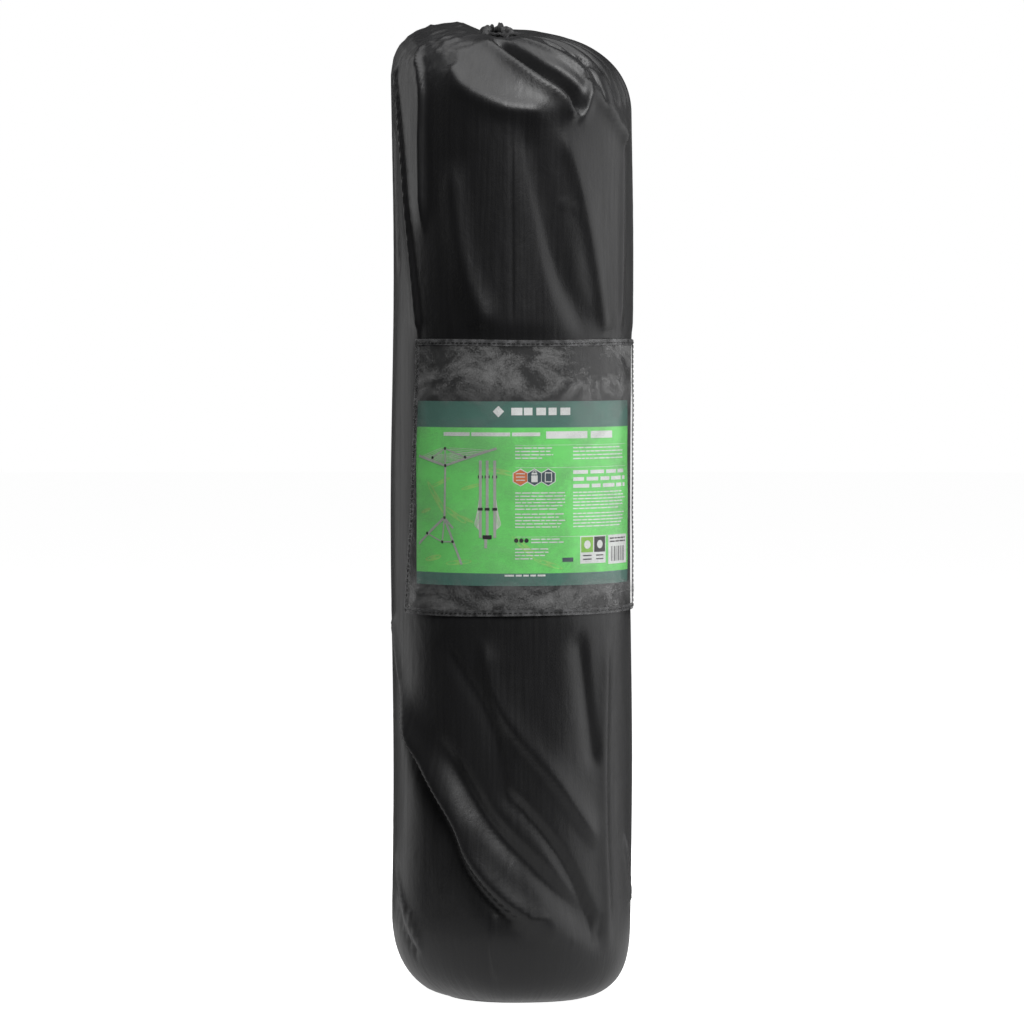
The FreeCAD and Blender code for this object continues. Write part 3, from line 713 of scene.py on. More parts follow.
def stations(bag):
    """Where the rows of faces lie: close together where the cloth folds, and few behind the stiff pocket."""
    wall = SHOULDER[2] - bag.corner_height
    foot, head = ((edge - bag.corner_height) / wall + 1 for edge in (POCKET_LOW.z, POCKET_HIGH.z))
    shares = ((0, 1, 0.09), (1, foot, 0.35), (foot, head, 0.09), (head, 2, 0.25), (2, 3, 0.22))
    runs = [np.linspace(low, high, round(bag.rows * share), endpoint=False) for low, high, share in shares]
    return np.append(np.concatenate(runs), 3.0)


def crowd_front(across):
    """Angles round the bag for places from 0 to 1, closer together at the front than at the back."""
    turn = (across - 0.5) * math.tau
    return turn - FRONT_CROWDING * np.sin(turn)


BASE_SIDES, BASE_RINGS = 96, 14
BASE_THICKNESS = 1.2 * MM
PIPING_RADIUS = 1.5 * MM

# The gathered hem: its ruffles, and its own thickness and height in mm at the middle of a ruffle.
RUFFLES, SMALL_RUFFLES = 11, 23
HEM_INSET = 3.0 * MM
HEM_THICKNESS, HEM_HEIGHT = 3.6, 3.9
HEM_LENGTH = 30 * MM

# The knot, in mm from its middle, and the routes of the cord's ends out of it.
KNOT_AT = (4, -15, -3.5)
KNOT_POINTS = 22
KNOT_SIZE = (1.75, 1.7, 1.55)
CORD_ENDS = (
    ((0, 0, 0), (5, -1, 3), (10, 1, 4), (14, 5, 2), (15, 10, -1)),
    ((0, 0, 0), (-5, 1, 3), (-9, 4, 4), (-12, 9, 2), (-10, 14, -1)),
    ((0, 0, 0), (2, 4, 5), (1, 9, 6), (0, 14, 5)),
)


def knot_route():
    """Points in mm of an overhand knot drawn up tight."""
    wide, deep, tall = KNOT_SIZE
    for step in range(KNOT_POINTS):
        t = step / KNOT_POINTS * math.tau
        yield ((math.sin(t) + 2 * math.sin(2 * t)) * wide, -math.sin(3 * t) * deep,
               (math.cos(t) - 2 * math.cos(2 * t)) * tall)


# ---------------------------------------------------------------- operators


class CLOTHESLINE_OT_bag_side(bpy.types.Operator):
    """Build the bag's side: one sheet of satin, sewn down the back, folded and drawn in at the mouth"""

    bl_idname = "clothesline.bag_side"
    bl_label = "Bag Side"

    def execute(self, context):
        bag = context.scene.clothesline_bag
        rows = stations(bag)

        def place(across, up):
            station = np.interp(up, np.linspace(0, 1, len(rows)), rows)
            return hanging_cloth(bag, crowd_front(across), station)

        side = grid_sheet("bag_side", bag.columns, len(rows) - 1, place)
        girth, height = math.tau * BAG_RADIUS, BAG_HIGH.z + BAG_RADIUS
        scale_uv(side, girth, height)
        merge_seam(side)
        add_modifier(side, "SOLIDIFY", thickness=bag.cloth_thickness, offset=-1)
        smooth(side, 80)
        soft(side, "bag_fabric", satin_cloth("black_satin", tuple(bag.colour)), "bag_body")
        return {"FINISHED"}


class CLOTHESLINE_OT_bag_base(bpy.types.Operator):
    """Build the bag's round base panel and the piping sewn round it"""

    bl_idname = "clothesline.bag_base"
    bl_label = "Bag Base"

    def execute(self, context):
        bag = context.scene.clothesline_bag

        def place(across, up):
            angle = across * math.tau
            edge = resting_bag(bag, angle, np.zeros(len(angle)))
            share = 1 - up
            points = edge * share[:, None]
            points[:, 2] = edge[:, 2] * share ** 3
            return points

        panel = grid_sheet("bag_base_panel", BASE_SIDES, BASE_RINGS, place)
        scale_uv(panel, math.tau * BAG_RADIUS * 0.5, BAG_RADIUS * 0.5)
        merge_seam(panel, 1e-5)
        add_modifier(panel, "SOLIDIFY", thickness=BASE_THICKNESS, offset=-1)
        low = points_of(panel)
        low[:, 2] -= low[:, 2].min()
        place_points(panel, low)
        smooth(panel)
        soft(panel, "base_fabric", satin_cloth("base_cloth", tinted(bag.colour, 1.1), 0.6), "bag_base")

        turns = np.linspace(0, math.tau, BASE_SIDES, endpoint=False)
        seam = resting_bag(bag, turns, np.zeros(BASE_SIDES)) + (0, 0, BASE_THICKNESS)
        piping = tube_along("base_piping", seam[::2], PIPING_RADIUS, closed=True)
        smooth(piping)
        soft(piping, "base_fabric", satin_cloth("piping_cloth", tinted(bag.colour, 0.8), 0.5))
        return {"FINISHED"}


class CLOTHESLINE_OT_bag_mouth(bpy.types.Operator):
    """Build the gathered hem, the drawcord in it and the knot that holds it shut"""

    bl_idname = "clothesline.bag_mouth"
    bl_label = "Bag Mouth"

    def execute(self, context):
        bag = context.scene.clothesline_bag
        centre = np.array([*MOUTH_SHIFT, MOUTH_HEIGHT - 1 * MM])

        def place(across, up):
            angle = across * math.tau
            round_it = up * math.tau
            gather = np.cos(RUFFLES * angle + 1.8 * np.sin(3 * angle + 1))
            gather = gather + 0.4 * np.cos(SMALL_RUFFLES * angle)
            ring = bag.mouth_radius - HEM_INSET + 1.4 * MM * np.sin(2 * angle)
            radius = ring + (HEM_THICKNESS + 1.1 * gather) * MM * np.cos(round_it)
            height = (HEM_HEIGHT + 1.3 * gather + 0.8 * np.sin(5 * angle)) * MM * np.sin(round_it)
            height -= MOUTH_TILT * np.cos(angle)
            return centre + np.stack([radius * np.sin(angle), -radius * np.cos(angle), height], axis=-1)

        hem = grid_sheet("gathered_hem", 180, 20, place)
        scale_uv(hem, math.tau * bag.mouth_radius * 3, HEM_LENGTH)
        merge_seam(hem)
        smooth(hem, 80)
        soft(hem, "bag_fabric", satin_cloth("hem_satin", tuple(bag.colour), 0.5), "mouth_hem")

        # The cord leaves the hem at the front and is tied in an overhand knot.
        front = centre + np.array(KNOT_AT) * MM
        radius = bag.cord_diameter / 2
        loops = [front + np.array(point) * MM for point in knot_route()]
        cords = [tube_along("cord_knot", loops, radius, closed=True)]
        cords += [tube_along("cord_tail", front + np.array(route) * MM, radius) for route in CORD_ENDS]
        knot = join("cord_knot", cords)
        smooth(knot)
        soft(knot, "cord", braid("black_cord", tinted(bag.colour, 1.3)), "drawcord")
        return {"FINISHED"}


# The card lies in mm: across is the arc from the middle of the bag's front, up is the height.
CARD_RADIUS = -CARD_LOW.y
CARD_ACROSS = (math.radians(-52) * CARD_RADIUS / MM, math.radians(74) * CARD_RADIUS / MM)
CARD_LIFT = -0.35 * MM
CARD_DROP = 1.5
CARD_UP = (CARD_LOW.z / MM - CARD_DROP, CARD_HIGH.z / MM - CARD_DROP)
HEAD_BAND = 21.0
FOOT_BAND = 10.0
# The longest face of a printed stroke, so that it follows the bag round.
WRAP_STEP = 4.0

# The pocket's left and right edge, how much further left its foot hangs, and how far it sags in mm.
POCKET_TURN = (math.radians(-52), math.radians(94))
POCKET_SLANT = math.radians(10)
POCKET_HANG = 4.5
POCKET_FOOT, POCKET_HEAD = POCKET_LOW.z / MM - POCKET_HANG, POCKET_HIGH.z / MM
POCKET_TALL = (POCKET_HEAD - POCKET_FOOT) * MM
POCKET_WIDE = (POCKET_TURN[1] - POCKET_TURN[0] + POCKET_SLANT * 0.4) * CARD_RADIUS
# The border's width in mm, and how far film, border and stitches stand off the bag's wall.
POCKET_BORDER = 5.0
FILM_LIFT = 0.75 * MM
TAPE_LIFT = FILM_LIFT + 0.35 * MM
STITCH_LIFT = FILM_LIFT + 0.45 * MM
FILM_THICKNESS = 0.2 * MM
TAPE_THICKNESS = STITCH_THICKNESS = 0.5 * MM
STITCH_WIDTH = 1.6


def card_waves(across, up):
    """How far the card and its pocket bow off the bag, in metres."""
    crease = 0.5 * MM * np.exp(-np.abs(across - 1.5) / 7)
    slow = 0.16 * MM * np.sin(across * 0.07 + up * 0.045)
    return crease + slow + 0.1 * MM * np.sin(up * 0.11 - across * 0.05)


def wrap(across, up, lift):
    """Lay card places (mm) round the bag, lifted off the bag's wall by lift metres."""
    angle = across * MM / CARD_RADIUS
    radius = BAG_RADIUS + lift + card_waves(across, up)
    return np.stack([radius * np.sin(angle), -radius * np.cos(angle), up * MM], axis=-1)


class CLOTHESLINE_OT_label_card(bpy.types.Operator):
    """Build the printed card: a thin green card with a slate band at its head and at its foot"""

    bl_idname = "clothesline.label_card"
    bl_label = "Label Card"

    def execute(self, context):
        label = context.scene.clothesline_label
        width, height = CARD_ACROSS[1] - CARD_ACROSS[0], CARD_UP[1] - CARD_UP[0]

        def place(across, up):
            return wrap(CARD_ACROSS[0] + across * width, CARD_UP[0] + up * height,
                        np.full(len(across), CARD_LIFT))

        rows = round(height)
        card = grid_sheet("label_card_sheet", 110, rows, place)
        scale_uv(card, width * MM, height * MM)
        add_modifier(card, "SOLIDIFY", thickness=label.card_thickness, offset=-1)
        card.data.materials.append(printed("card_green", tuple(label.green)))
        card.data.materials.append(printed("card_slate", tuple(label.slate)))
        for face in card.data.polygons:
            up = face.center.z / MM
            face.material_index = int(up > CARD_UP[1] - HEAD_BAND or up < CARD_UP[0] + FOOT_BAND)
        smooth(card, 40)
        ride_on_bag(card, "card", "label_card")
        return {"FINISHED"}


class Ink:
    """One colour of print, drawn flat in the card's own mm and wrapped round the bag at the end."""

    def __init__(self, name, layer):
        self.name = name
        self.layer = layer
        self.strokes = []
        self.discs = []

    def bars(self, *edges):
        """Upright rectangles, each by its left, low, right and high edge."""
        for left, low, right, high in edges:
            middle = (low + high) / 2
            self.stroke((left, middle), (right, middle), high - low)

    def stroke(self, first, last, width):
        """A straight stroke from first to last."""
        self.strokes.append((Vector(first), Vector(last), width))

    def disc(self, centre, radii, sides=20, turn=0.0):
        """A filled disc or oval, or a regular shape with few sides."""
        self.discs.append((Vector(centre), radii, sides, turn))

    def ring(self, centre, radius, width, sides):
        """A ring of short strokes."""
        for step in range(sides):
            ends = [(centre[0] + radius * math.cos(math.tau * k / sides),
                     centre[1] + radius * math.sin(math.tau * k / sides)) for k in (step, step + 1.1)]
            self.stroke(*ends, width)

    def text_block(self, chance, left, high, right, lines, pitch, height, last, word=(3.0, 8.0)):
        """Lines of plain bars that stand for small print."""
        for line in range(lines):
            across = left
            end = left + (right - left) * (last if line == lines - 1 else chance.uniform(0.86, 1.0))
            while across < end - 1:
                wide = min(chance.uniform(*word), end - across)
                low = high - line * pitch - height
                self.bars((across, low, across + wide, low + height))
                across += wide + height * 0.9

    def print_marks(self):
        """Make a small grid for each stroke and a fan for each disc, then size and turn each one."""
        bpy.ops.object.select_all(action="DESELECT")
        bpy.ops.mesh.primitive_plane_add(size=1)
        piece = start(self.name)
        bpy.ops.object.mode_set(mode="EDIT")
        bpy.ops.mesh.select_all(action="SELECT")
        bpy.ops.mesh.delete(type="VERT")
        sizes = []
        for first, last, width in self.strokes:
            span = last - first
            reach = max(abs(span.x), width if abs(span.y) > abs(span.x) else 0)
            cells = max(1, math.ceil(reach / WRAP_STEP))
            bpy.ops.mesh.primitive_grid_add(x_subdivisions=cells, y_subdivisions=1, size=1)
            sizes.append(((cells + 1) * 2, (first + last) / 2, math.atan2(span.y, span.x), (span.length, width)))
        for centre, radii, sides, turn in self.discs:
            bpy.ops.mesh.primitive_circle_add(vertices=sides, radius=1, fill_type="TRIFAN")
            sizes.append((sides + 1, centre, turn, radii))
        bpy.ops.object.mode_set(mode="OBJECT")
        points = points_of(piece)
        at = 0
        for count, centre, turn, (long, wide) in sizes:
            across, up = points[at:at + count, 0] * long, points[at:at + count, 1] * wide
            points[at:at + count, 0] = centre[0] + across * math.cos(turn) - up * math.sin(turn)
            points[at:at + count, 1] = centre[1] + across * math.sin(turn) + up * math.cos(turn)
            at += count
        place_points(piece, points)
        return piece

    def wrap(self, label, material):
        """Lay the print round the bag, and let it ride on the bag with the card."""
        piece = self.print_marks()
        flat = points_of(piece)
        place_points(piece, wrap(flat[:, 0], flat[:, 1], CARD_LIFT + label.ink_lift * self.layer))
        piece.data.materials.append(material)
        ride_on_bag(piece, "card")


def draw_open_airer(silver, lines, black):
    """The picture of the airer standing open."""
    top, low, joint = (-57.5, 454.5), (-57.2, 440.7), (-57.9, 398.8)
    right_tip, left_tip = (-12.4, 454.8), (-86, 448.2)
    clamps = ((-39.0, 447.7), (-70.1, 446.9))
    for number in range(7):
        share = 0.3 + 0.1 * number
        ends = [(low[0] + (tip[0] - low[0]) * share, low[1] + (tip[1] - low[1]) * share)
                for tip in (left_tip, right_tip)]
        lines.stroke(*ends, 0.32)
        lines.stroke(ends[1], (low[0] + 4, low[1] + 11.5 * share + 4), 0.32)
        lines.stroke(ends[0], (low[0] - 3, low[1] + 11.5 * share + 4), 0.32)
    silver.stroke(low, joint, 1.9)
    silver.stroke(low, top, 1.3)
    for tip, clamp in zip((right_tip, left_tip), clamps):
        silver.stroke(low, tip, 1.9)
        silver.stroke(top, clamp, 1.0)
    foot_low = (-60.2, 379.2)
    for foot, clamp in (((-86.4, 376.9), (-76.4, 385.8)), ((-42.0, 361.3), (-50.2, 379.6))):
        silver.stroke(joint, foot, 2.0)
        silver.stroke(foot_low, clamp, 1.0)
    silver.stroke(joint, (-49.7, 390.3), 1.6)
    silver.stroke(joint, foot_low, 1.3)
    for spot in (top, low, joint, foot_low, *clamps, (-76.4, 385.8), (-50.2, 379.6)):
        black.disc(spot, (1.25, 1.25), 10)


def draw_folded_airer(silver, lines, black):
    """The picture of the airer folded up, with its lines looped down."""
    tubes = (-25.9, -20.2, -14.0)
    for across in tubes:
        silver.bars((across - 1.2, 383.0, across + 1.2, 445.2))
    silver.bars((-22.6, 374.7, -20.2, 383.4))
    for number in range(6):
        bulge = 1.2 + 0.55 * number
        for side, edge in ((-1, tubes[0]), (1, tubes[2])):
            route = [(edge, 428 - 3 * number), (edge + side * bulge, 408 - 2 * number),
                     (edge + side * (bulge + 0.6), 398 - number), (edge, 384 + number)]
            smooth_route = curve_through([(x, y, 0) for x, y in route], 8)
            for a, b in zip(smooth_route[:-1], smooth_route[1:]):
                lines.stroke(a[:2], b[:2], 0.45)
    for up in (432.0, 406.1):
        for across in tubes:
            black.bars((across - 2.0, up - 1.1, across + 2.0, up + 1.1))
    black.bars((-24.0, 382.0, -16.5, 385.2))


# The print on the card. Leaves are middles, half lengths, half widths and turns.
LEAVES = (
    ((-66, 414), 17, 2.6, -0.95), ((-48, 401), 12, 2.4, -0.55), ((-70, 366), 9, 2.2, 0.2),
    ((-62, 427), 10, 1.6, 0.4), ((-34, 424), 9, 1.5, 0.25), ((-38, 398), 7, 1.4, -0.4),
    ((-45, 363), 12, 2.0, 0.1), ((12, 374), 16, 2.6, -0.7), ((-8, 436), 12, 2.2, -0.2),
    ((30, 362), 13, 2.0, -0.3), ((-78, 404), 6, 1.6, 0.3),
)
HEAD_DIAMOND = (-11.0, 484.4)
HEAD_BLOCK_WIDTHS = (9, 7, 8, 7, 9)
TITLE = (
    (-59, 464.6, -35, 467.6), (-33.5, 464.6, -1.5, 467.6), (0, 464.6, 23, 467.6),
    (28, 462.6, 66, 468.4), (69.5, 462.6, 96, 468.4),
)
RULES = (457.4, 439.4, 383.8)
# Blocks of small print: left, top, right, lines, their pitch and their height, and the last line's share.
SMALL_PRINT = (
    (2.5, 455.6, 34, 4, 2.7, 1.0, 0.7), (52, 455.6, 119, 4, 2.9, 1.0, 0.95),
)
BOLD_PRINT = (437.0, 431.4, 425.8)
LOW_PRINT = (
    (2.5, 419.6, 46, 6, 2.6, 0.95, 0.8), (2.5, 402.6, 46, 5, 2.6, 0.95, 0.85),
    (52, 419.6, 119, 6, 2.6, 0.95, 0.8), (52, 402.6, 119, 5, 2.6, 0.95, 0.85),
    (15.5, 382.4, 43, 2, 2.5, 1.0, 1.0), (2.5, 374.6, 31, 4, 2.6, 0.95, 0.5),
)
WHITE_BOXES = ((58.7, 361.6, 87.4, 383.8), (91.0, 360.3, 123.5, 383.6))
FOOT_PRINT = (-6, 353.6, 28, 1, 2, 1.5, 1.0)
BOX_PRINT = (93, 381.6, 120, 2, 2.6, 1.1, 1.0)
ICONS = (6.8, 18.2, 29.8)
ICON_UP = 431.6
ICON_RADII, ICON_RIM_RADII = (6.4, 6.4), (7.2, 7.2)
STRIPE_WIDTHS = (0.9, 0.5, 1.3, 0.5, 0.8, 1.4, 0.5, 0.9, 0.5, 1.2, 0.6)
STRIPE_PITCH = 2.2
DOTS = (3.4, 7.6, 11.8)


def draw_white(chance):
    """The white print: blocks, title, rules, small print, boxes and the icons' rims."""
    white = Ink("print_white", 2)
    white.disc(HEAD_DIAMOND, (4.6, 4.6), 4)
    for number, wide in enumerate(HEAD_BLOCK_WIDTHS):
        left = -0.6 + number * 10.2
        white.bars((left, 481.4, left + wide, 487.4))
    white.bars(*TITLE)
    white.bars(*((2.5, up - 0.12, 121, up + 0.12) for up in RULES))
    for block in SMALL_PRINT:
        white.text_block(chance, *block)
    for up in BOLD_PRINT:
        white.text_block(chance, 52, up, 119, 1, 5, 3.0, 1.0, word=(9, 18))
    for block in LOW_PRINT:
        white.text_block(chance, *block)
    white.bars(*WHITE_BOXES)
    white.text_block(chance, *FOOT_PRINT)
    for across in ICONS:
        white.disc((across, ICON_UP), ICON_RIM_RADII, 6)
    return white


def draw_black(black, chance):
    """The black print: a square, stripes, dots and small print."""
    black.bars((73.4, 370.6, 86.6, 383.0))
    for number, wide in enumerate(STRIPE_WIDTHS):
        left = 95 + STRIPE_PITCH * number
        black.bars((left, 362.5, left + wide, 374.5))
    for across in DOTS:
        black.disc((across, 381.0), (1.75, 1.75), 12)
    for up in (367.6, 364.6):
        black.bars((61.5, up, 70.5, up + 0.9), (75.5, up, 84.5, up + 0.9))
    black.text_block(chance, *BOX_PRINT)


def draw_marks():
    """The pale marks on the icons and on the two squares."""
    marks = Ink("print_marks", 5)
    for across in (65.9, 80.0):
        marks.disc((across, 376.8), (3.4, 3.4), 24)
    # A weight with its handle, a folded sheet and three lines.
    marks.stroke((15.8, 434.6), (20.4, 434.6), 1.4)
    marks.bars((15.6, 427.8, 20.8, 433.2))
    marks.ring((18.2, 435.6), 1.4, 0.6, 12)
    marks.bars(*((26.8, low, 32.8, high) for low, high in ((427.6, 428.4), (434.8, 435.6))))
    marks.bars(*((across, 427.6, across + 0.7, 435.6) for across in (26.8, 32.2)))
    marks.bars(*((3.2, up, 10.4, up + 0.7) for up in (434.2, 431.6, 429.0)))
    return marks


class CLOTHESLINE_OT_label_print(bpy.types.Operator):
    """Draw the card's print: plain marks, bars for its small print and two pictures of the airer"""

    bl_idname = "clothesline.label_print"
    bl_label = "Label Print"

    def execute(self, context):
        chance = np.random.default_rng(21)
        leaves, lime = Ink("print_pale_leaves", 1), Ink("print_lime", 3)
        orange, slate = Ink("print_orange", 3), Ink("print_slate", 3)
        silver, lines, black = Ink("print_silver", 3), Ink("print_lines", 2), Ink("print_black", 4)
        for middle, long, wide, turn in LEAVES:
            leaves.disc(middle, (long, wide), 16, turn)
        white = draw_white(chance)
        orange.disc((ICONS[0], ICON_UP), ICON_RADII, 6)
        for across in ICONS[1:]:
            slate.disc((across, ICON_UP), ICON_RADII, 6)
        slate.bars((42, 363.4, 52, 366.8))
        lime.bars((59.6, 370.6, 72.2, 383.0))
        draw_black(black, chance)
        draw_open_airer(silver, lines, black)
        draw_folded_airer(silver, lines, black)
        for ink, name, colour in (
                (leaves, "ink_pale", (0.36, 0.82, 0.2)),
                (white, "ink_white", (0.9, 0.93, 0.9)),
                (orange, "ink_orange", (0.76, 0.2, 0.07)),
                (slate, "ink_slate", (0.055, 0.09, 0.11)),
                (lime, "ink_lime", (0.25, 0.6, 0.05)),
                (silver, "ink_silver", (0.5, 0.52, 0.48)),
                (lines, "ink_line", (0.74, 0.8, 0.7)),
                (black, "ink_black", (0.012, 0.012, 0.012)),
                (draw_marks(), "ink_marks", (0.85, 0.87, 0.84))):
            ink.wrap(context.scene.clothesline_label, printed(name, colour))
        return {"FINISHED"}


def pocket_place(across, up, lift):
    """A place on the pocket, across and up from 0 to 1; the pocket hangs wider at its foot."""
    left = POCKET_TURN[0] - POCKET_SLANT * (1 - up) ** 1.6
    angle = left + across * (POCKET_TURN[1] - left)
    sag = 1.6 * np.sin(across * math.pi * 3 + 0.6) * (0.5 - up) + 1.2 * np.sin(across * 5.3) * (1 - up)
    height = POCKET_FOOT + up * (POCKET_HEAD - POCKET_FOOT) - sag * 0.6
    return wrap(angle * CARD_RADIUS / MM, height, lift)


def film_lift(across, up):
    """The film stands off the card in soft pillows, and is held down at its border."""
    rim = np.minimum.reduce([across, 1 - across, up, 1 - up])
    held = 1 - np.exp(-(rim / 0.09) ** 2)
    pillow = 0.9 + 0.7 * np.sin(across * 9 + up * 4) + 0.5 * np.sin(up * 15 - across * 6)
    slack = 1.2 * np.exp(-((up - 0.06) / 0.08) ** 2) * (1 + np.sin(across * 22))
    return FILM_LIFT + held * (0.55 * pillow + slack + 0.6) * MM


def stitch_places(pitch):
    """The ends of each stitch along the middle of the tape, across and up from 0 to 1."""
    inset_up = POCKET_BORDER * MM / POCKET_TALL * 0.55
    inset_across = POCKET_BORDER * MM / POCKET_WIDE * 0.55
    count = round(POCKET_WIDE / pitch)
    for number in range(count):
        for up in (inset_up, 1 - inset_up):
            yield ((number + 0.18) / count, up), ((number + 0.82) / count, up)
    count = round(POCKET_TALL / pitch)
    for number in range(count):
        for across in (inset_across, 1 - inset_across):
            yield (across, (number + 0.18) / count), (across, (number + 0.82) / count)


def welded_tape():
    """Ribbed clear tape, greyer and less clear than the film."""
    material, shader = finish("welded_tape", (0.11, 0.11, 0.112), 0.35)
    shader.inputs["Alpha"].default_value = 0.62
    wires = Wiring(material)
    ribs = wires.noise((160, 160, 160), detail=4)
    wires.paint(ribs, (0.35, (0.045, 0.045, 0.046)), (0.7, (0.2, 0.2, 0.205)))
    wires.bump(ribs, strength=0.4, distance=0.3 * MM)
    return material


# How much of the film's dust and painted sheen stays over the card, and how opaque the clearest film is.
OVER_CARD_HAZE = 0.22
CLEAREST_FILM = 0.05


def clear_film(name, haze):
    """Soft clear vinyl with a glossy face, grey in cloudy patches that are partly dust and partly painted sheen.
    """
    material, shader = finish(name, (0.33, 0.33, 0.33), 0.16)
    wires = Wiring(material)
    clouds = wires.noise((22, 22, 34), detail=7, rough=0.65, distortion=0.6)
    specks = wires.noise((900, 900, 900), detail=2)
    patchy = wires.reckon("MULTIPLY_ADD", specks, 0.3, clouds)
    place = wires.node("ShaderNodeTexCoord")
    split = wires.node("ShaderNodeSeparateXYZ")
    wires.link(place.outputs["Object"], split.inputs["Vector"])
    height = split.outputs["Z"]
    # Dust and painted sheen lie above and below the card, and the film over the card is clearer.
    above = wires.spread(height, 0.0, 1.0, CARD_HIGH.z - 6 * MM, CARD_HIGH.z + 12 * MM)
    below = wires.spread(height, 1.0, 0.0, CARD_LOW.z - 8 * MM, CARD_LOW.z + 4 * MM)
    sheen_and_dust_band = wires.spread(wires.reckon("MAXIMUM", above, below), OVER_CARD_HAZE, 1.0, 0.0, 1.0)
    dust_and_sheen = wires.reckon("MULTIPLY", wires.spread(patchy, 0.0, haze * 2.6, 0.6, 0.85), sheen_and_dust_band)
    wires.link(wires.reckon("ADD", dust_and_sheen, CLEAREST_FILM, clamp=True), shader.inputs["Alpha"])
    ripple = wires.noise((30, 30, 18), distortion=0.8)
    wires.bump(ripple, strength=0.5, distance=3 * MM)
    return material


class CLOTHESLINE_OT_label_pocket(bpy.types.Operator):
    """Build the clear pocket over the card, its welded border and the stitches that hold it"""

    bl_idname = "clothesline.label_pocket"
    bl_label = "Label Pocket"

    def execute(self, context):
        label = context.scene.clothesline_label

        def place(across, up):
            return pocket_place(across, up, film_lift(across, up))

        film = grid_sheet("pocket_film", 150, 130, place)
        scale_uv(film, POCKET_WIDE, POCKET_TALL)
        add_modifier(film, "SOLIDIFY", thickness=FILM_THICKNESS, offset=-1)
        smooth(film, 60)
        soft(film, "clear_film", clear_film("vinyl_film", label.film_haze), "label_pocket")

        # A folded tape of the same film runs round the border.
        tape = POCKET_BORDER * MM
        flat, upright = tape / POCKET_TALL, tape / POCKET_WIDE
        strips = []
        for number, (left, right, foot, head) in enumerate((
                (0, 1, 0, flat), (0, 1, 1 - flat, 1), (0, upright, flat, 1 - flat),
                (1 - upright, 1, flat, 1 - flat))):

            def strip(across, up, left=left, right=right, foot=foot, head=head):
                return pocket_place(left + across * (right - left), foot + up * (head - foot),
                                    np.full(len(across), TAPE_LIFT))

            lies_flat = number < 2
            cells = (120, 4) if lies_flat else (4, 100)
            made = grid_sheet(f"border_{number}", *cells, strip)
            scale_uv(made, *((POCKET_WIDE, tape) if lies_flat else (tape, POCKET_TALL)))
            strips.append(add_modifier(made, "SOLIDIFY", thickness=TAPE_THICKNESS, offset=-1))
        border = join("pocket_border", strips)
        smooth(border, 50)
        soft(border, "clear_film", welded_tape())

        # The stitches are drawn on a large flat square, and then laid on the tape.
        square = 1000
        drawn = Ink("pocket_stitches", 0)
        for ends in stitch_places(label.stitch_pitch):
            drawn.stroke(*(Vector(end) * square for end in ends), STITCH_WIDTH)
        stitches = drawn.print_marks()
        drawing = points_of(stitches) / square
        lift = np.full(len(drawing), STITCH_LIFT)
        place_points(stitches, pocket_place(drawing[:, 0], drawing[:, 1], lift))
        add_modifier(stitches, "SOLIDIFY", thickness=STITCH_THICKNESS, offset=1)
        soft(stitches, "cord", moulded("stitch_thread", (0.03, 0.03, 0.03), 0.6))
        return {"FINISHED"}


def fitting_finishes(fittings):
    """The finish of each of the record's slots."""
    return {
        "aluminium": drawn_tube("drawn_aluminium", tuple(fittings.tube_colour)),
        "steel": drawn_tube("rivet_steel", (0.5, 0.5, 0.52)),
        "black_plastic": moulded("moulded_nylon", tuple(fittings.plastic_colour)),
        "rubber": moulded("black_rubber", (0.018, 0.018, 0.018), 0.62),
        "line": moulded("washing_line", tuple(fittings.line_colour), 0.34),
    }


class CLOTHESLINE_OT_fittings(bpy.types.Operator):
    """Finish the tubes, hubs, brackets, rivets, feet and lines inside the bag"""

    bl_idname = "clothesline.fittings"
    bl_label = "Fittings"

    def execute(self, context):
        finishes = fitting_finishes(context.scene.clothesline_fittings)
        by_node = {part["node"]: part["material_slot"] for part in frame["record"]["subparts"]}
        for name, node in frame["nodes"].items():
            material = finishes.get(by_node.get(name))
            if material is None:
                continue
            if not node.material_slots:
                raise RuntimeError(f"{name} has no material slot to finish")
            for holder in node.material_slots:
                holder.material = material
        return {"FINISHED"}


FLOOR_RADIUS = 14
FLOOR_GLOW = 0.985
# Each light's name, setting, place and size. The low one is the light that the floor throws back.
LIGHTS = (
    ("right_softbox", "right_light", (1.75, 0.05, 0.75), (2.5, 2.2)),
    ("left_softbox", "left_light", (-1.3, 0.75, 0.75), (0.8, 2.2)),
    ("top_softbox", "top_light", (0.0, -0.3, 2.3), (1.6, 1.6)),
    ("front_softbox", "front_light", (0.45, -1.5, 2.0), (1.2, 1.0)),
    ("floor_bounce", "floor_light", (0.0, 0.0, -0.01), (0.9, 0.9)),
)


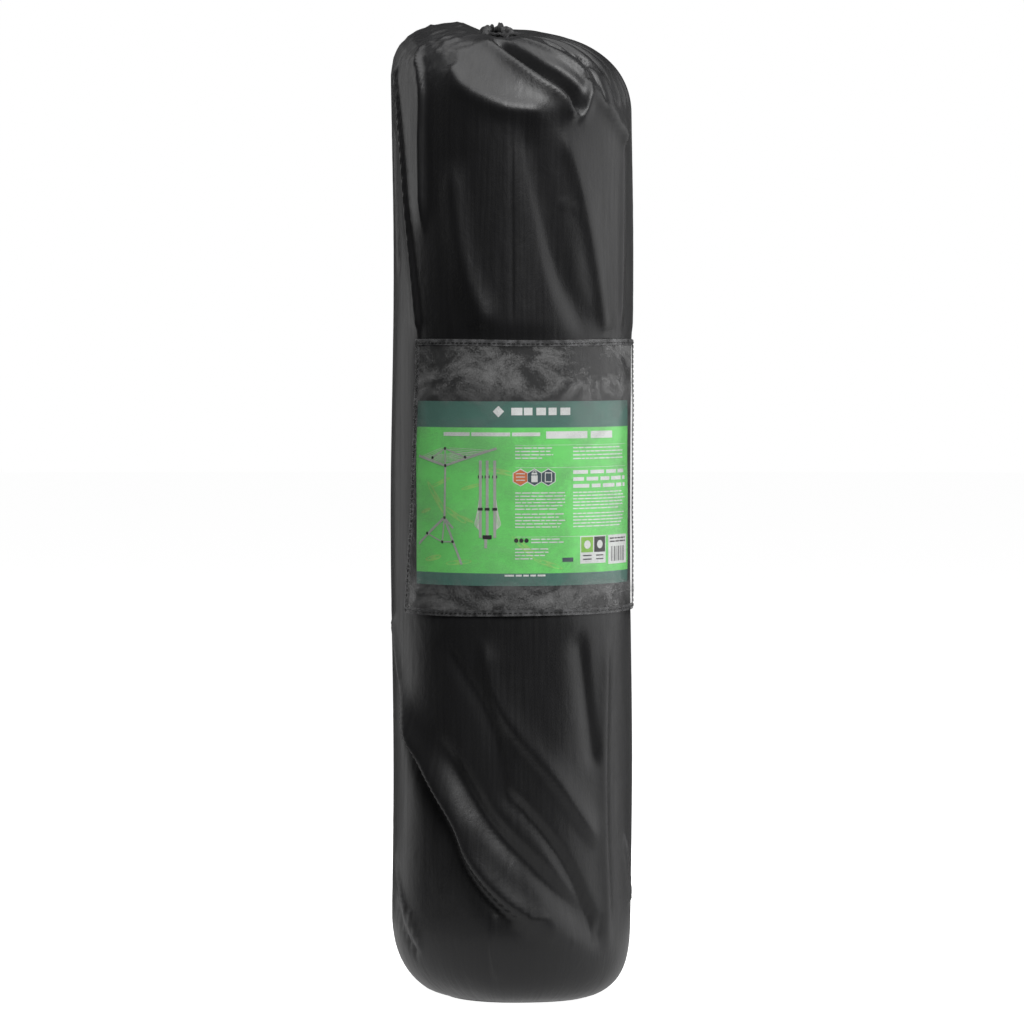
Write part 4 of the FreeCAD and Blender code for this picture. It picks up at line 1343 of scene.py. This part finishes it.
class CLOTHESLINE_OT_stage(bpy.types.Operator):
    """Set up the pale floor, the soft studio lights and the camera"""

    bl_idname = "clothesline.stage"
    bl_label = "Stage"

    def execute(self, context):
        stage = context.scene.clothesline_stage
        scene = context.scene
        scene.view_settings.view_transform = "Standard"

        bpy.ops.object.select_all(action="DESELECT")
        bpy.ops.mesh.primitive_circle_add(vertices=96, radius=FLOOR_RADIUS, fill_type="NGON")
        floor = start("studio_floor")
        white, shader = finish("studio_white", (0.9, 0.9, 0.9), 0.8)
        shader.inputs["Specular IOR Level"].default_value = 0.1
        shader.inputs["Emission Color"].default_value = (1, 1, 1, 1)
        shader.inputs["Emission Strength"].default_value = FLOOR_GLOW
        floor.data.materials.append(white)

        world = bpy.data.worlds.new("studio")
        world.use_nodes = True
        scene.world = world
        world.node_tree.nodes["Background"].inputs["Color"].default_value = (1, 1, 1, 1)
        # Only the camera sees the white room; the lights alone shine on the bag.
        for ray in ("diffuse", "glossy", "transmission"):
            setattr(world.cycles_visibility, ray, False)
        for ray in ("glossy", "diffuse", "shadow"):
            setattr(floor, f"visible_{ray}", False)

        target = Vector((0, 0, stage.aim_height))
        for name, setting, where, (wide, high) in LIGHTS:
            bpy.ops.object.light_add(type="AREA", location=where)
            lamp = context.object
            lamp.name = name
            lamp.data.shape = "RECTANGLE"
            lamp.data.size, lamp.data.size_y = wide, high
            lamp.data.energy = getattr(stage, setting)
            away = Vector(where) - target
            lamp.rotation_euler = away.to_track_quat("Z", "Y").to_euler()

        eye = Vector((0, -stage.camera_distance, stage.camera_height))
        bpy.ops.object.camera_add(location=eye)
        camera = context.object
        camera.rotation_euler = (eye - target).to_track_quat("Z", "Y").to_euler()
        camera.data.angle = 2 * math.atan(stage.view_height / 2 / stage.camera_distance)
        camera.data.clip_start = 0.05
        scene.camera = camera
        return {"FINISHED"}


class CLOTHESLINE_PT_panel(bpy.types.Panel):
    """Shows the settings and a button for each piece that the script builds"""

    bl_label = "Packed Clothesline"
    bl_idname = "CLOTHESLINE_PT_panel"
    bl_space_type = "VIEW_3D"
    bl_region_type = "UI"
    bl_category = "Clothesline"

    def draw(self, context):
        layout = self.layout
        for group in GROUPS:
            settings = getattr(context.scene, group)
            box = layout.box()
            for key in settings.bl_rna.properties.keys():
                if key not in {"rna_type", "name"}:
                    box.prop(settings, key)
        for operator in PIECES:
            layout.operator(operator.bl_idname)


GROUPS = {
    "clothesline_bag": BagSettings,
    "clothesline_label": LabelSettings,
    "clothesline_fittings": FittingSettings,
    "clothesline_stage": StageSettings,
}
PIECES = (
    CLOTHESLINE_OT_fittings,
    CLOTHESLINE_OT_bag_side,
    CLOTHESLINE_OT_bag_base,
    CLOTHESLINE_OT_bag_mouth,
    CLOTHESLINE_OT_label_card,
    CLOTHESLINE_OT_label_print,
    CLOTHESLINE_OT_label_pocket,
    CLOTHESLINE_OT_stage,
)


def register():
    """Register the settings, the operators and the panel."""
    for name, group in GROUPS.items():
        bpy.utils.register_class(group)
        setattr(bpy.types.Scene, name, PointerProperty(type=group))
    for operator in PIECES:
        bpy.utils.register_class(operator)
    bpy.utils.register_class(CLOTHESLINE_PT_panel)


def unregister():
    """Take away what register() added."""
    bpy.utils.unregister_class(CLOTHESLINE_PT_panel)
    for operator in reversed(PIECES):
        bpy.utils.unregister_class(operator)
    for name, group in reversed(GROUPS.items()):
        delattr(bpy.types.Scene, name)
        bpy.utils.unregister_class(group)


def main():
    """Build every piece."""
    register()
    for operator in PIECES:
        group, word = operator.bl_idname.split(".")
        getattr(getattr(bpy.ops, group), word)()


if __name__ == "__main__":
    main()
